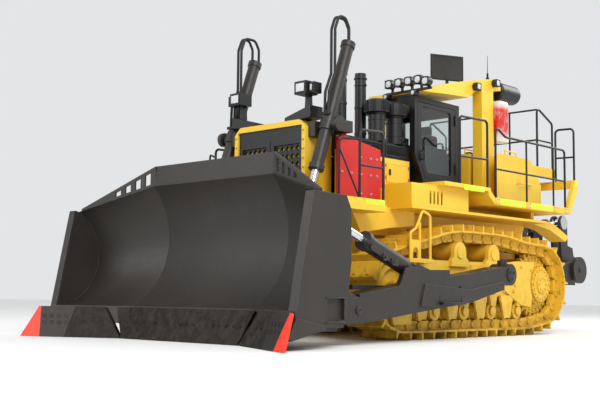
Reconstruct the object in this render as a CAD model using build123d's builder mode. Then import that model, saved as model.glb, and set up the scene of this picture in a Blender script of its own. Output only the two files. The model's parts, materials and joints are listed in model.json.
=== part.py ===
"""Crawler bulldozer with a full U blade and a single-shank ripper, in millimetres.
+X is forward, +Y is the machine's left and +Z is up. The ground is at Z = 0."""
from build123d import *
import os
from math import atan2, cos, hypot, pi, radians, sin

os.makedirs("parts", exist_ok=True)

# ---------------------------------------------------------------- main stations
D = 75.0                        # station of the dash bulkhead, from which the others are laid out
FIT = 0.05                      # radial running clearance of a pin in its bore
SIDE_GAP = 6.0                  # side clearance of a moving eye between its ears

# crawler
TRACK_Y = 1250.0                # middle of each track, half the gauge
SHOE_W = 610.0
SHOES = 41
PIN_Z = 190.0                   # chain pins over the ground
SPROCKET_X = D - 2450.0
SPROCKET_Z = 830.0
SPROCKET_R = 568.0              # to the chain pins
IDLER_X = D + 1500.0
IDLER_Z = 690.0
IDLER_R = 500.0                 # to the chain pins
LIFT_OFF_X = D - 1900.0         # last roller, where the chain starts to climb
CARRIER_X = (D + 0.0, D - 930.0)
CARRIER_Z = 1310.0
CARRIER_R = 130.0
RAIL_IN = 70.0                  # rail's rolling face, inside the pins
RAIL_OUT = 62.0                 # rail's outer edge, outside the pins
RAIL_Y = (85.0, 165.0)          # rails, from the middle of the track
PLATE_T = 32.0                  # thickness of a shoe
GROUSER_H = 96.0                # grouser over its shoe
ROLLER_R = 130.0
ROLLERS = 8
ROLLER_X = (D - 1720.0, D + 930.0)

# track frame
FRAME_Y = (TRACK_Y - 190.0, TRACK_Y + 190.0)   # box of the track frame
FRAME_TOP = 1150.0
FRAME_FOOT = 620.0

# hull
HULL_Y = 600.0
HULL_FOOT = 620.0
HULL_TOP = 1500.0
HULL_X = (D - 3050.0, D + 2050.0)
FLANGE_T = 60.0
BODY_Y = 800.0                  # engine side panels
BODY_FOOT = HULL_TOP + FLANGE_T
HOOD_X = (D + 335.0, D + 2050.0)
HOOD_BAND_Z = 2670.0
HOOD_TOP = 2920.0
NOSE_X = (D + 2050.0, D + 2600.0)
NOSE_Y = 710.0
NOSE_TOP = 3050.0
NOSE_FOOT = 1050.0

# blade linkage pivots
TRUNNION = (D - 600.0, 950.0)   # push arms on the track frames
ARM_PIN = (D + 3050.0, 430.0)   # push arms to the blade
ARM_Y = (TRACK_Y + 450.0, TRACK_Y + 750.0)
LIFT_Y = 950.0
LIFT_YOKE = (D + 2410.0, 2950.0)
LIFT_EYE = (D + 3208.0, 700.0)
TILT_Y = (ARM_Y[0] + ARM_Y[1]) / 2
TILT_FOOT = (D + 1680.0, 940.0)
TILT_EYE = (D + 3450.0, 1587.0)

# blade
KNEE_Y = 1190.0
WING_Y = 2360.0                 # inner face of the end plates
TIP_Y = 2580.0
WING_RAKE = 0.479               # forward per metre outward along a wing's cutting edge

# ripper pivots
RIPPER_MID_Y = TRACK_Y - SHOE_W / 2 - 145.0    # middle of each ripper arm
RIPPER_ARM_Y = (RIPPER_MID_Y - 80.0, RIPPER_MID_Y + 80.0)
RIPPER_FOOT = (D - 3450.0, 950.0)
RIPPER_END = (D - 4820.0, 1130.0)
RIP_LIFT_Y = 330.0
RIP_LIFT_TOP = (D - 3400.0, 2150.0)
RIP_LIFT_EYE = (D - 4330.0, 1180.0)
RIP_TILT_Y = RIPPER_MID_Y - 230.0
RIP_TILT_TOP = (D - 3330.0, 1850.0)
RIP_TILT_EYE = (D - 4700.0, 2030.0)

# cab and decks; the cab stands left of the middle
CAB_X = (D - 870.0, D + 330.0)
CAB_Y = (-300.0, 900.0)
CAB_MID = (CAB_Y[0] + CAB_Y[1]) / 2
CAB_FOOT = 2370.0
CAB_TOP = CAB_FOOT + 1330.0
WALL_T = 60.0
DECK_Y = TRACK_Y + 350.0
DECK_TOP = CAB_FOOT - 70.0
REAR_DECK_TOP = DECK_TOP - 140.0
FENDER_Y = TRACK_Y + 250.0
FENDER_TOP = DECK_TOP - 400.0

# ---------------------------------------------------------------- ways of building
def slab(x0, x1, y0, y1, z0, z1, mode=Mode.ADD):
    """Box between two stations on each axis."""
    with Locations(((x0 + x1) / 2, (y0 + y1) / 2, (z0 + z1) / 2)):
        Box(x1 - x0, y1 - y0, z1 - z0, mode=mode)


def bar(start, end, radius, mode=Mode.ADD):
    """Round bar between two points."""
    along = Vector(*end) - Vector(*start)
    with Locations(Plane(origin=start, z_dir=along)):
        Cylinder(radius, along.length, align=(Align.CENTER, Align.CENTER, Align.MIN), mode=mode)


def cross_bar(at, y0, y1, radius, mode=Mode.ADD):
    """Round bar across the machine at an (x, z) place."""
    bar((at[0], y0, at[1]), (at[0], y1, at[1]), radius, mode)


def side_plate(points, y0, y1, mode=Mode.ADD):
    """Plate cut to an outline of (x, z) points."""
    with BuildSketch(Plane.XZ.offset(-y1)) as outline:
        with BuildLine():
            Polyline(*points, close=True)
        make_face()
    extrude(outline.sketch, amount=y1 - y0, mode=mode)


def front_plate(points, x0, x1, mode=Mode.ADD):
    """Plate cut to an outline of (y, z) points."""
    with BuildSketch(Plane.YZ.offset(x0)) as outline:
        with BuildLine():
            Polyline(*points, close=True)
        make_face()
    extrude(outline.sketch, amount=x1 - x0, mode=mode)


def flat_plate(points, z0, z1, mode=Mode.ADD):
    """Plate cut to an outline of (x, y) points."""
    with BuildSketch(Plane.XY.offset(z0)) as outline:
        with BuildLine():
            Polyline(*points, close=True)
        make_face()
    extrude(outline.sketch, amount=z1 - z0, mode=mode)


def link_plate(a, ra, b, rb, y0, y1, mode=Mode.ADD):
    """Plate that wraps round two (x, z) centres with a radius about each."""
    along = atan2(b[1] - a[1], b[0] - a[0])
    side = (-sin(along), cos(along))
    corners = [
        (a[0] + side[0] * ra, a[1] + side[1] * ra),
        (b[0] + side[0] * rb, b[1] + side[1] * rb),
        (b[0] - side[0] * rb, b[1] - side[1] * rb),
        (a[0] - side[0] * ra, a[1] - side[1] * ra),
    ]
    side_plate(corners, y0, y1, mode)
    cross_bar(a, y0, y1, ra, mode)
    cross_bar(b, y0, y1, rb, mode)


def tube(points, radius, bend):
    """Round tube along a route with rounded corners."""
    with BuildLine() as route:
        FilletPolyline(*points, radius=bend)
    with BuildSketch(Plane(origin=route.line @ 0, z_dir=route.line % 0)) as ring:
        Circle(radius)
    sweep(ring.sketch, path=route.line)


def toward(a, b, reach):
    """Point at a distance from a along the line to b, both (x, z)."""
    span = hypot(b[0] - a[0], b[1] - a[1])
    return (a[0] + (b[0] - a[0]) * reach / span, a[1] + (b[1] - a[1]) * reach / span)


# ---------------------------------------------------------------- tracks
def chain_route():
    """Fine route of the chain pins, starting under the idler and running to the rear."""
    step = radians(3.0)
    route = [(IDLER_X, PIN_Z), (LIFT_OFF_X, PIN_Z)]
    climb = atan2(SPROCKET_Z - SPROCKET_R - PIN_Z, LIFT_OFF_X - SPROCKET_X)
    start = -pi / 2 - 2 * climb
    finish = -3 * pi / 2 - radians(3.0)
    turn = start
    while turn > finish:
        route.append((SPROCKET_X + SPROCKET_R * cos(turn), SPROCKET_Z + SPROCKET_R * sin(turn)))
        turn -= step
    over = CARRIER_Z + CARRIER_R + RAIL_IN
    route.append((SPROCKET_X + 560.0, 1412.0))
    route.append((CARRIER_X[1] - 330.0, over - 12.0))
    route.append((CARRIER_X[1], over))
    route.append((CARRIER_X[0], over))
    route.append((CARRIER_X[0] + 300.0, over - 25.0))
    dip = atan2(IDLER_Z + IDLER_R - over, IDLER_X - CARRIER_X[0])
    turn = pi / 2 + dip
    while turn > -pi / 2:
        route.append((IDLER_X + IDLER_R * cos(turn), IDLER_Z + IDLER_R * sin(turn)))
        turn -= step
    return route


def chain_pins():
    """Places of the chain pins, one pitch apart along the route."""
    route = chain_route()
    closed = route + [route[0]]
    spans = [hypot(b[0] - a[0], b[1] - a[1]) for a, b in zip(closed, closed[1:])]
    pitch = sum(spans) / SHOES
    pins = []
    for count in range(SHOES):
        left = count * pitch
        leg = 0
        while left > spans[leg]:
            left -= spans[leg]
            leg += 1
        a, b = closed[leg], closed[leg + 1]
        pins.append((a[0] + (b[0] - a[0]) * left / spans[leg], a[1] + (b[1] - a[1]) * left / spans[leg]))
    return pins


def off_chain(a, b, along, out):
    """Point at a share of the way from pin a to pin b, standing out of the loop."""
    span = hypot(b[0] - a[0], b[1] - a[1])
    ux, uz = (b[0] - a[0]) / span, (b[1] - a[1]) / span
    return (a[0] + ux * along * span - uz * out, a[1] + uz * along * span + ux * out)


PINS = chain_pins()
LINKS = list(zip(PINS, PINS[1:] + PINS[:1]))
# share of the pitch, height over the pins: one shoe's outer face with its grouser
SHOE_TOP = RAIL_OUT + PLATE_T
SHOE_OUTLINE = (
    (0.03, SHOE_TOP),
    (0.62, SHOE_TOP),
    (0.66, SHOE_TOP + GROUSER_H),
    (0.76, SHOE_TOP + GROUSER_H),
    (0.82, SHOE_TOP),
    (0.96, SHOE_TOP),
)
# share of the pitch, depth under the pins: one link's inner edge with its notch
LINK_EDGE = ((0.0, -RAIL_IN + 34.0), (0.16, -RAIL_IN), (0.84, -RAIL_IN))


def corner_ring(out):
    """One point at each pin, halfway between its two links' directions."""
    ring = []
    for (a, b), (_, c) in zip(LINKS, LINKS[1:] + LINKS[:1]):
        before = off_chain(a, b, 1.0, out)
        after = off_chain(b, c, 0.0, out)
        ring.append(((before[0] + after[0]) / 2, (before[1] + after[1]) / 2))
    return ring


def crawler_loop(side):
    """One track: two rails and the ring of shoes on them."""
    middle = side * TRACK_Y
    shoes = []
    for a, b in LINKS:
        shoes.append(off_chain(a, b, 0.0, RAIL_OUT + PLATE_T / 3))
        shoes.extend(off_chain(a, b, share, out) for share, out in SHOE_OUTLINE)
    side_plate(shoes, middle - SHOE_W / 2, middle + SHOE_W / 2)
    side_plate(corner_ring(RAIL_OUT), middle - SHOE_W / 2, middle + SHOE_W / 2, Mode.SUBTRACT)
    inner = [off_chain(a, b, share, out) for a, b in LINKS for share, out in LINK_EDGE]
    for near, far in (RAIL_Y, (-RAIL_Y[1], -RAIL_Y[0])):
        with BuildSketch(Plane.XZ.offset(-middle - far)) as rail:
            with BuildLine():
                Polyline(*corner_ring(RAIL_OUT + PLATE_T / 4), close=True)
            make_face()
            with BuildLine():
                Polyline(*inner, close=True)
            make_face(mode=Mode.SUBTRACT)
        extrude(rail.sketch, amount=far - near)


with BuildPart() as track_left:
    crawler_loop(1)
track_left.part.label = "track_left"
export_step(track_left.part, "parts/track_left.step")

with BuildPart() as track_right:
    crawler_loop(-1)
track_right.part.label = "track_right"
export_step(track_right.part, "parts/track_right.step")

# ---------------------------------------------------------------- track frames, rollers, idlers
ROLLER_Z = PIN_Z + RAIL_IN + ROLLER_R
ROLLER_SPAN = (ROLLER_X[1] - ROLLER_X[0]) / (ROLLERS - 1)
AXLE_R = 48.0
COLLAR_R = 75.0
YOKE_T = 55.0
PLATE_OUT = FRAME_Y[1] + 40.0   # outer face of the plates on the frame's side
TRUNNION_R = 90.0
BRACKET_Y = (FRAME_Y[1] - 10.0, FRAME_Y[1] + 60.0)
HOOP_Y = TRACK_Y + SHOE_W / 2 + 65.0
HOOP_R = 20.0
FRAME_OUTLINE = (
    (D - 1700.0, FRAME_TOP - 90.0),
    (D - 1500.0, FRAME_TOP),
    (D + 800.0, FRAME_TOP - 10.0),
    (D + 1000.0, FRAME_TOP - 140.0),
    (D + 1000.0, FRAME_FOOT),
    (D - 1700.0, FRAME_FOOT),
    (D - 1800.0, FRAME_FOOT + 150.0),
)
GUARD_OUTLINE = (
    (D - 1840.0, 700.0),
    (D - 1500.0, 780.0),
    (D + 1060.0, 780.0),
    (D + 1120.0, 640.0),
    (D + 1100.0, 330.0),
    (D - 1760.0, 330.0),
    (D - 1860.0, 420.0),
)
REAR_PLATE = (
    (D - 1270.0, 720.0),
    (D - 1270.0, FRAME_TOP),
    (D - 1640.0, FRAME_TOP + 40.0),
    (D - 2200.0, FRAME_TOP + 40.0),
    (D - 2080.0, 450.0),
    (D - 1780.0, 480.0),
    (D - 1500.0, 600.0),
)
# distance from the roller's middle, height: shield over a roller's end, and hanger over the next one's
SHIELD = ((180.0, 640.0), (180.0, 560.0), (150.0, 500.0), (105.0, 320.0), (85.0, 280.0))
HANGER = ((100.0, 640.0), (100.0, 600.0), (55.0, ROLLER_Z + COLLAR_R + 0.3))
# distance from the carrier roller's middle, height
CARRIER_FOOT = ((225.0, 1060.0), (225.0, 1150.0), (160.0, 1200.0), (160.0, 1270.0))


def even_plate(middle, half, y0, y1):
    """Plate with the same outline to both sides of a middle station."""
    left = [(middle - out, z) for out, z in half]
    right = [(middle + out, z) for out, z in reversed(half)]
    side_plate(left + right, y0, y1)


def step_hoop():
    """Step on the track frame: two bent hoops and the arched plate between them."""
    front, middle, rear = D + 1410.0, D + 1190.0, D + 940.0
    slab(D + 900.0, D + 1450.0, FRAME_Y[1], HOOP_Y + 25.0, 1080.0, 1140.0)
    slab(D + 900.0, D + 1000.0, FRAME_Y[1] - 20.0, FRAME_Y[1] + 40.0, 960.0, 1080.0)
    tube([(front, HOOP_Y, 1130.0), (front, HOOP_Y, 1500.0), (middle + 90.0, HOOP_Y, 1560.0), (middle, HOOP_Y, 1700.0),
          (middle - 60.0, HOOP_Y, 1820.0), (rear, HOOP_Y, 1760.0), (rear, HOOP_Y, 1130.0)], HOOP_R, 60.0)
    bar((middle, HOOP_Y, 1130.0), (middle, HOOP_Y, 1650.0), HOOP_R)
    slab(middle, front, HOOP_Y - 12.0, HOOP_Y + 12.0, 1140.0, 1400.0)
    slab(middle + 50.0, front - 50.0, HOOP_Y - 12.0, HOOP_Y + 12.0, 1140.0, 1230.0, Mode.SUBTRACT)
    cross_bar(((front + middle) / 2, 1230.0), HOOP_Y - 12.0, HOOP_Y + 12.0, 60.0, Mode.SUBTRACT)


def track_frame(side):
    """Box beam with its plates, roller guards, idler yoke, carrier brackets, step and trunnion."""
    inner, outer = FRAME_Y
    side_plate(FRAME_OUTLINE, inner, outer)
    side_plate(GUARD_OUTLINE, inner - 35.0, inner)
    side_plate(REAR_PLATE, outer - 15.0, PLATE_OUT)
    cross_bar((SPROCKET_X, SPROCKET_Z), outer - 20.0, PLATE_OUT + 5.0, 390.0, Mode.SUBTRACT)
    for place in range(ROLLERS):
        x = ROLLER_X[0] + place * ROLLER_SPAN
        if place % 2:
            even_plate(x, SHIELD, outer, outer + 35.0)
        else:
            even_plate(x, HANGER, outer - 16.0, outer + 25.0)
    for y0 in (inner - YOKE_T, outer):
        slab(D + 900.0, IDLER_X + 130.0, y0, y0 + YOKE_T, 560.0, 820.0)
        cross_bar((IDLER_X + 130.0, IDLER_Z), y0, y0 + YOKE_T, 130.0)
    cross_bar((IDLER_X, IDLER_Z), outer, outer + YOKE_T + 25.0, 150.0)
    side_plate(
        [
            (D + 1200.0, 215.0),
            (D + 1620.0, 215.0),
            (D + 1640.0, 380.0),
            (D + 1540.0, 400.0),
            (D + 1500.0, 570.0),
            (D + 1330.0, 570.0),
            (D + 1300.0, 400.0),
            (D + 1190.0, 380.0),
        ],
        outer,
        outer + 45.0,
    )
    for x in CARRIER_X:
        even_plate(x, CARRIER_FOOT, *BRACKET_Y)
        cross_bar((x, 1270.0), *BRACKET_Y, 160.0)
        cross_bar((x, 1270.0), BRACKET_Y[1], BRACKET_Y[1] + 18.0, 90.0)
    cross_bar(TRUNNION, outer, ARM_Y[1] - 60.0, TRUNNION_R)
    cross_bar(TRUNNION, outer, outer + 150.0, 170.0)
    slab(TRUNNION[0] - 260.0, TRUNNION[0] + 260.0, outer, outer + 30.0, 700.0, 1100.0)
    step_hoop()
    if side < 0:
        mirror(about=Plane.XZ, mode=Mode.REPLACE)


with BuildPart() as track_frame_left:
    track_frame(1)
track_frame_left.part.label = "track_frame_left"
export_step(track_frame_left.part, "parts/track_frame_left.step")

with BuildPart() as track_frame_right:
    track_frame(-1)
track_frame_right.part.label = "track_frame_right"
export_step(track_frame_right.part, "parts/track_frame_right.step")

ROLLER_HALF = RAIL_Y[1] + 7.0
with BuildPart() as track_rollers:
    for place in range(ROLLERS):
        x = ROLLER_X[0] + place * ROLLER_SPAN
        cross_bar((x, ROLLER_Z), TRACK_Y - ROLLER_HALF, TRACK_Y + ROLLER_HALF, ROLLER_R)
        cross_bar((x, ROLLER_Z), TRACK_Y - 80.0, TRACK_Y + 80.0, ROLLER_R + 30.0)
        cross_bar((x, ROLLER_Z), FRAME_Y[0], FRAME_Y[1], AXLE_R)
        if place % 2 == 0:
            cross_bar((x, ROLLER_Z), FRAME_Y[1], FRAME_Y[1] + 20.0, COLLAR_R)
    for x in CARRIER_X:
        cross_bar((x, CARRIER_Z), TRACK_Y - ROLLER_HALF, TRACK_Y + ROLLER_HALF, CARRIER_R - 8.0)
        cross_bar((x, CARRIER_Z), TRACK_Y + 100.0, BRACKET_Y[0], AXLE_R)
    mirror(about=Plane.XZ)
track_rollers.part.label = "track_rollers"
export_step(track_rollers.part, "parts/track_rollers.step")

IDLER_TREAD_R = IDLER_R - RAIL_IN - 21.0   # the rails lie flat across the rim
with BuildPart() as idlers:
    cross_bar((IDLER_X, IDLER_Z), TRACK_Y - 168.0, TRACK_Y + 168.0, IDLER_TREAD_R)
    cross_bar((IDLER_X, IDLER_Z), TRACK_Y - 75.0, TRACK_Y + 75.0, IDLER_TREAD_R + 35.0)
    cross_bar((IDLER_X, IDLER_Z), TRACK_Y - 168.0, TRACK_Y - 100.0, IDLER_TREAD_R - 90.0, Mode.SUBTRACT)
    cross_bar((IDLER_X, IDLER_Z), TRACK_Y + 100.0, TRACK_Y + 168.0, IDLER_TREAD_R - 90.0, Mode.SUBTRACT)
    cross_bar((IDLER_X, IDLER_Z), FRAME_Y[0], FRAME_Y[1], 120.0)
    mirror(about=Plane.XZ)
idlers.part.label = "idlers"
export_step(idlers.part, "parts/idlers.step")

TEETH = 25
TOOTH_R = SPROCKET_R - 6.0
RIM_R = SPROCKET_R - RAIL_IN - 12.0
# share of a tooth's pitch, radius
TOOTH = ((0.0, RIM_R - 20.0), (0.22, TOOTH_R), (0.5, TOOTH_R), (0.72, RIM_R - 20.0))
# distances from the middle of the track, radius: steps of the drive's housing, inner side first
HOUSING = ((-240.0, -50.0, 330.0), (-50.0, 50.0, RIM_R), (50.0, 150.0, 340.0), (150.0, 205.0, 290.0), (205.0, 235.0, 150.0))
with BuildPart() as final_drives:
    axle = (SPROCKET_X, SPROCKET_Z)
    cross_bar(axle, HULL_Y, TRACK_Y - 240.0, 430.0)
    for near, far, radius in HOUSING:
        cross_bar(axle, TRACK_Y + near, TRACK_Y + far, radius)
    with BuildSketch(Plane.XZ.offset(-TRACK_Y - 45.0)) as crown:
        with BuildLine():
            Polyline(
                *[
                    (
                        SPROCKET_X + radius * cos(2 * pi * (tooth + share) / TEETH),
                        SPROCKET_Z + radius * sin(2 * pi * (tooth + share) / TEETH),
                    )
                    for tooth in range(TEETH)
                    for share, radius in TOOTH
                ],
                close=True,
            )
        make_face()
    extrude(crown.sketch, amount=90.0)
    mirror(about=Plane.XZ)
final_drives.part.label = "final_drives"
export_step(final_drives.part, "parts/final_drives.step")

# ---------------------------------------------------------------- hull
PIVOT_X = D - 1400.0
EQUALISER_X = D + 760.0
with BuildPart() as main_frame:
    side_plate(
        [
            (HULL_X[0], 740.0),
            (HULL_X[0], HULL_TOP),
            (HULL_X[1], HULL_TOP),
            (HULL_X[1], NOSE_FOOT),
            (D + 1500.0, HULL_FOOT),
            (D - 2650.0, HULL_FOOT),
        ],
        -HULL_Y,
        HULL_Y,
    )
    slab(HULL_X[0], HULL_X[1], -BODY_Y, BODY_Y, HULL_TOP, BODY_FOOT)
    for y0, y1 in ((HULL_Y, FRAME_Y[0]), (-FRAME_Y[0], -HULL_Y)):
        cross_bar((PIVOT_X, 930.0), y0, y1, 130.0)
    slab(EQUALISER_X - 110.0, EQUALISER_X + 110.0, -FRAME_Y[0], FRAME_Y[0], 850.0, 1060.0)
main_frame.part.label = "main_frame"
export_step(main_frame.part, "parts/main_frame.step")

with BuildPart() as engine_block:
    slab(D + 420.0, D + 1900.0, -420.0, 420.0, BODY_FOOT, 2560.0)
engine_block.part.label = "engine_block"
export_step(engine_block.part, "parts/engine_block.step")

SHOULDER = 110.0
GRILLE_Z = (1500.0, 2970.0)
GRILLE_Y = 640.0
TOW_EYE = (NOSE_X[1] + 95.0, 1225.0)
TOW_R = 36.0
TOW_T = 70.0
with BuildPart() as radiator_guard:
    front_plate(
        [
            (-NOSE_Y, NOSE_FOOT),
            (NOSE_Y, NOSE_FOOT),
            (NOSE_Y, NOSE_TOP - SHOULDER),
            (NOSE_Y - SHOULDER, NOSE_TOP),
            (SHOULDER - NOSE_Y, NOSE_TOP),
            (-NOSE_Y, NOSE_TOP - SHOULDER),
        ],
        *NOSE_X,
    )
    slab(NOSE_X[1] - 90.0, NOSE_X[1], -GRILLE_Y, GRILLE_Y, *GRILLE_Z, Mode.SUBTRACT)
    fillet(radiator_guard.edges().filter_by(Axis.X).group_by(Axis.Z)[-1], 60.0)
    side_plate(
        [(NOSE_X[1] - 10.0, 1400.0), (TOW_EYE[0], TOW_EYE[1] + 95.0), (TOW_EYE[0], TOW_EYE[1] - 95.0), (NOSE_X[1] - 10.0, 1070.0)],
        -TOW_T / 2,
        TOW_T / 2,
    )
    cross_bar(TOW_EYE, -TOW_T / 2, TOW_T / 2, 95.0)
    cross_bar(TOW_EYE, -TOW_T / 2, TOW_T / 2, TOW_R, Mode.SUBTRACT)
radiator_guard.part.label = "radiator_guard"
export_step(radiator_guard.part, "parts/radiator_guard.step")

DOOR_X = NOSE_X[1] - 90.0
DOOR_W = GRILLE_Y - 6.0
DOOR_TOP = GRILLE_Z[1] - 170.0
MESH = (5, 10)                  # diamonds across a grille door and up it
MESH_EDGE = 72.0
MESH_OPEN = 0.80                 # share of a diamond's cell that is open


def diamond_mesh(y0, y1, z0, z1):
    """Cuts rows of diamonds through a grille door."""
    wide = (y1 - y0) / MESH[0]
    tall = (z1 - z0) / MESH[1]
    half_w, half_h = wide * MESH_OPEN / 2, tall * MESH_OPEN / 2
    with BuildSketch(Plane.YZ.offset(DOOR_X)) as holes:
        with Locations(((y0 + y1) / 2, (z0 + z1) / 2)):
            with GridLocations(wide, tall, *MESH):
                Polygon((-half_w, 0), (0, -half_h), (half_w, 0), (0, half_h), align=None)
    extrude(holes.sketch, amount=60.0, mode=Mode.SUBTRACT)


with BuildPart() as radiator_grille:
    slab(DOOR_X, DOOR_X + 60.0, -GRILLE_Y, GRILLE_Y, DOOR_TOP, GRILLE_Z[1])
    for y0 in (-GRILLE_Y, 6.0):
        slab(DOOR_X, DOOR_X + 60.0, y0, y0 + DOOR_W, GRILLE_Z[0], DOOR_TOP)
        slab(DOOR_X + 35.0, DOOR_X + 60.0, y0 + MESH_EDGE, y0 + DOOR_W - MESH_EDGE, GRILLE_Z[0] + 80.0, DOOR_TOP - 80.0, Mode.SUBTRACT)
        diamond_mesh(y0 + MESH_EDGE, y0 + DOOR_W - MESH_EDGE, GRILLE_Z[0] + 80.0, DOOR_TOP - 80.0)
    for y in (-55.0, 55.0):
        slab(DOOR_X + 60.0, DOOR_X + 78.0, y - 22.0, y + 22.0, 2080.0, 2260.0)
radiator_grille.part.label = "radiator_grille"
export_step(radiator_grille.part, "parts/radiator_grille.step")

SHROUD_Y = (300.0, 790.0)
SHROUD_Z = (NOSE_TOP + 50.0, NOSE_TOP + 180.0)


def shroud_top(y):
    """Height of a shroud's sloping top at a station across the nose."""
    return SHROUD_Z[0] + (SHROUD_Z[1] - SHROUD_Z[0]) * (y - SHROUD_Y[0]) / (SHROUD_Y[1] - SHROUD_Y[0])


with BuildPart() as nose_shrouds:
    front_plate(
        [
            (SHROUD_Y[0], NOSE_TOP),
            (SHROUD_Y[0], SHROUD_Z[0]),
            (SHROUD_Y[1], SHROUD_Z[1]),
            (SHROUD_Y[1], NOSE_TOP + 15.0),
            (NOSE_Y - SHOULDER, NOSE_TOP),
        ],
        NOSE_X[0] + 280.0,
        NOSE_X[1] - 10.0,
    )
    mirror(about=Plane.XZ)
nose_shrouds.part.label = "nose_shrouds"
export_step(nose_shrouds.part, "parts/nose_shrouds.step")

HOOD_T = 25.0
BOX_X = (D - 300.0, D + 1150.0)    # box on the fender
with BuildPart() as engine_hood:
    front_plate(
        [
            (-BODY_Y, HOOD_BAND_Z),
            (BODY_Y, HOOD_BAND_Z),
            (BODY_Y, HOOD_TOP - 60.0),
            (BODY_Y - 60.0, HOOD_TOP),
            (60.0 - BODY_Y, HOOD_TOP),
            (-BODY_Y, HOOD_TOP - 60.0),
        ],
        *HOOD_X,
    )
    slab(HOOD_X[0] + HOOD_T, HOOD_X[1] - HOOD_T, HOOD_T - BODY_Y, BODY_Y - HOOD_T, HOOD_BAND_Z, HOOD_TOP - HOOD_T, Mode.SUBTRACT)
engine_hood.part.label = "engine_hood"
export_step(engine_hood.part, "parts/engine_hood.step")

STEP_Z = (1760.0, 1850.0)
STEP_X = (D + 1780.0, D + 2600.0)
STEP_Y = FENDER_Y
CASE_X = D + 1410.0
CASE_Y = BODY_Y + 230.0
CASE_Z = 1980.0
with BuildPart() as side_panels:
    slab(CASE_X, D + 2040.0, BODY_Y, CASE_Y, CASE_Z, CASE_Z + 700.0)
    slab(*HOOD_X, BODY_Y - HOOD_T, BODY_Y, BODY_FOOT, HOOD_BAND_Z)
    side_plate(
        [
            (STEP_X[0] + 260.0, STEP_Z[0] - 0.3),
            (D + 1860.0, 1490.0),
            (D + 1200.0, 1590.0),
            (D + 620.0, 1650.0),
            (D + 605.0, FENDER_TOP - 40.3),
            (BOX_X[1] + 50.3, FENDER_TOP - 40.3),
            (BOX_X[1] + 50.3, FENDER_TOP - 10.0),
            (STEP_X[0] - 0.3, 1811.0),
            (STEP_X[0] - 0.3, STEP_Z[0] - 0.3),
        ],
        BODY_Y,
        BODY_Y + 300.0,
    )
    mirror(about=Plane.XZ)
side_panels.part.label = "side_panels"
export_step(side_panels.part, "parts/side_panels.step")

with BuildPart() as red_case:
    side_plate(
        [(CASE_X, CASE_Z), (D + 2320.0, CASE_Z), (D + 2320.0, 2780.0), (D + 2240.0, 2830.0), (CASE_X, CASE_Z + 720.0)],
        CASE_Y,
        CASE_Y + 60.0,
    )
red_case.part.label = "red_case"
export_step(red_case.part, "parts/red_case.step")

with BuildPart() as front_steps:
    flat_plate(
        [
            (STEP_X[0], BODY_Y),
            (HOOD_X[1], BODY_Y),
            (HOOD_X[1], NOSE_Y),
            (D + 2420.0, NOSE_Y),
            (D + 2420.0, 1230.0),
            (STEP_X[1], 1230.0),
            (STEP_X[1], STEP_Y),
            (STEP_X[0], STEP_Y),
        ],
        *STEP_Z,
    )
    slab(STEP_X[0] + 50.0, STEP_X[1] + 30.0, STEP_Y - 30.0, STEP_Y, STEP_Z[0], STEP_Z[1] + 70.0)
    mirror(about=Plane.XZ)
front_steps.part.label = "front_steps"
export_step(front_steps.part, "parts/front_steps.step")

# ---------------------------------------------------------------- cab
BASE_X = (CAB_X[0] - 60.0, HOOD_X[0])
with BuildPart() as cab_base:
    slab(*BASE_X, -BODY_Y, BODY_Y, BODY_FOOT, DECK_TOP)
cab_base.part.label = "cab_base"
export_step(cab_base.part, "parts/cab_base.step")

SILL_X = CAB_X[1] - 220.0       # where the front wall's slanted foot starts
KNEE_Z = CAB_FOOT + 430.0       # where it ends
CAB_OUTLINE = (
    (CAB_X[0], CAB_FOOT),
    (SILL_X, CAB_FOOT),
    (CAB_X[1], KNEE_Z),
    (CAB_X[1], CAB_TOP),
    (CAB_X[0], CAB_TOP),
)
CAB_HOLLOW = (
    (CAB_X[0] + WALL_T, CAB_FOOT + 40.0),
    (SILL_X - 30.0, CAB_FOOT + 40.0),
    (CAB_X[1] - WALL_T, KNEE_Z + 10.0),
    (CAB_X[1] - WALL_T, CAB_TOP - 50.0),
    (CAB_X[0] + WALL_T, CAB_TOP - 50.0),
)
DOOR_OUTLINE = (
    (CAB_X[0] + 110.0, CAB_FOOT + 60.0),
    (SILL_X - 40.0, CAB_FOOT + 60.0),
    (CAB_X[1] - 70.0, KNEE_Z + 10.0),
    (CAB_X[1] - 70.0, CAB_TOP - 80.0),
    (CAB_X[0] + 110.0, CAB_TOP - 80.0),
)
DOOR_GAP = 8.0
DOOR_WINDOW = (
    (CAB_X[0] + 230.0, CAB_FOOT + 160.0),
    (SILL_X - 100.0, CAB_FOOT + 160.0),
    (CAB_X[1] - 165.0, KNEE_Z + 70.0),
    (CAB_X[1] - 165.0, CAB_TOP - 150.0),
    (CAB_X[0] + 230.0, CAB_TOP - 150.0),
)
WINDOW_R = 65.0
FRONT_WINDOW = (CAB_Y[0] + 100.0, CAB_Y[1] - 100.0, CAB_FOOT + 560.0, CAB_TOP - 130.0)
REAR_WINDOW = (CAB_Y[0] + 120.0, CAB_Y[1] - 120.0, CAB_FOOT + 560.0, CAB_TOP - 170.0)
HINGE_OUT = 12.0                # hinge line outside the wall
DOOR_HINGE = (CAB_X[0] + 110.0 + DOOR_GAP, CAB_Y[1] + HINGE_OUT)
KNUCKLE_Z = (CAB_FOOT + 240.0, CAB_TOP - 300.0)
KNUCKLE_R = 14.0
KNUCKLE_H = 80.0
HINGE_PIN_R = 8.0
GLASS_T = 10.0
CAB_MIRROR = Plane.XZ.offset(-CAB_MID)


def shrunk(points, gap):
    """Outline pulled in by a gap on all sides, for corners of any angle."""
    with BuildSketch(Plane.XZ) as sketch:
        with BuildLine():
            Polyline(*points, close=True)
        make_face()
        offset(amount=-gap, kind=Kind.INTERSECTION, mode=Mode.REPLACE)
    return sketch.sketch


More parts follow.
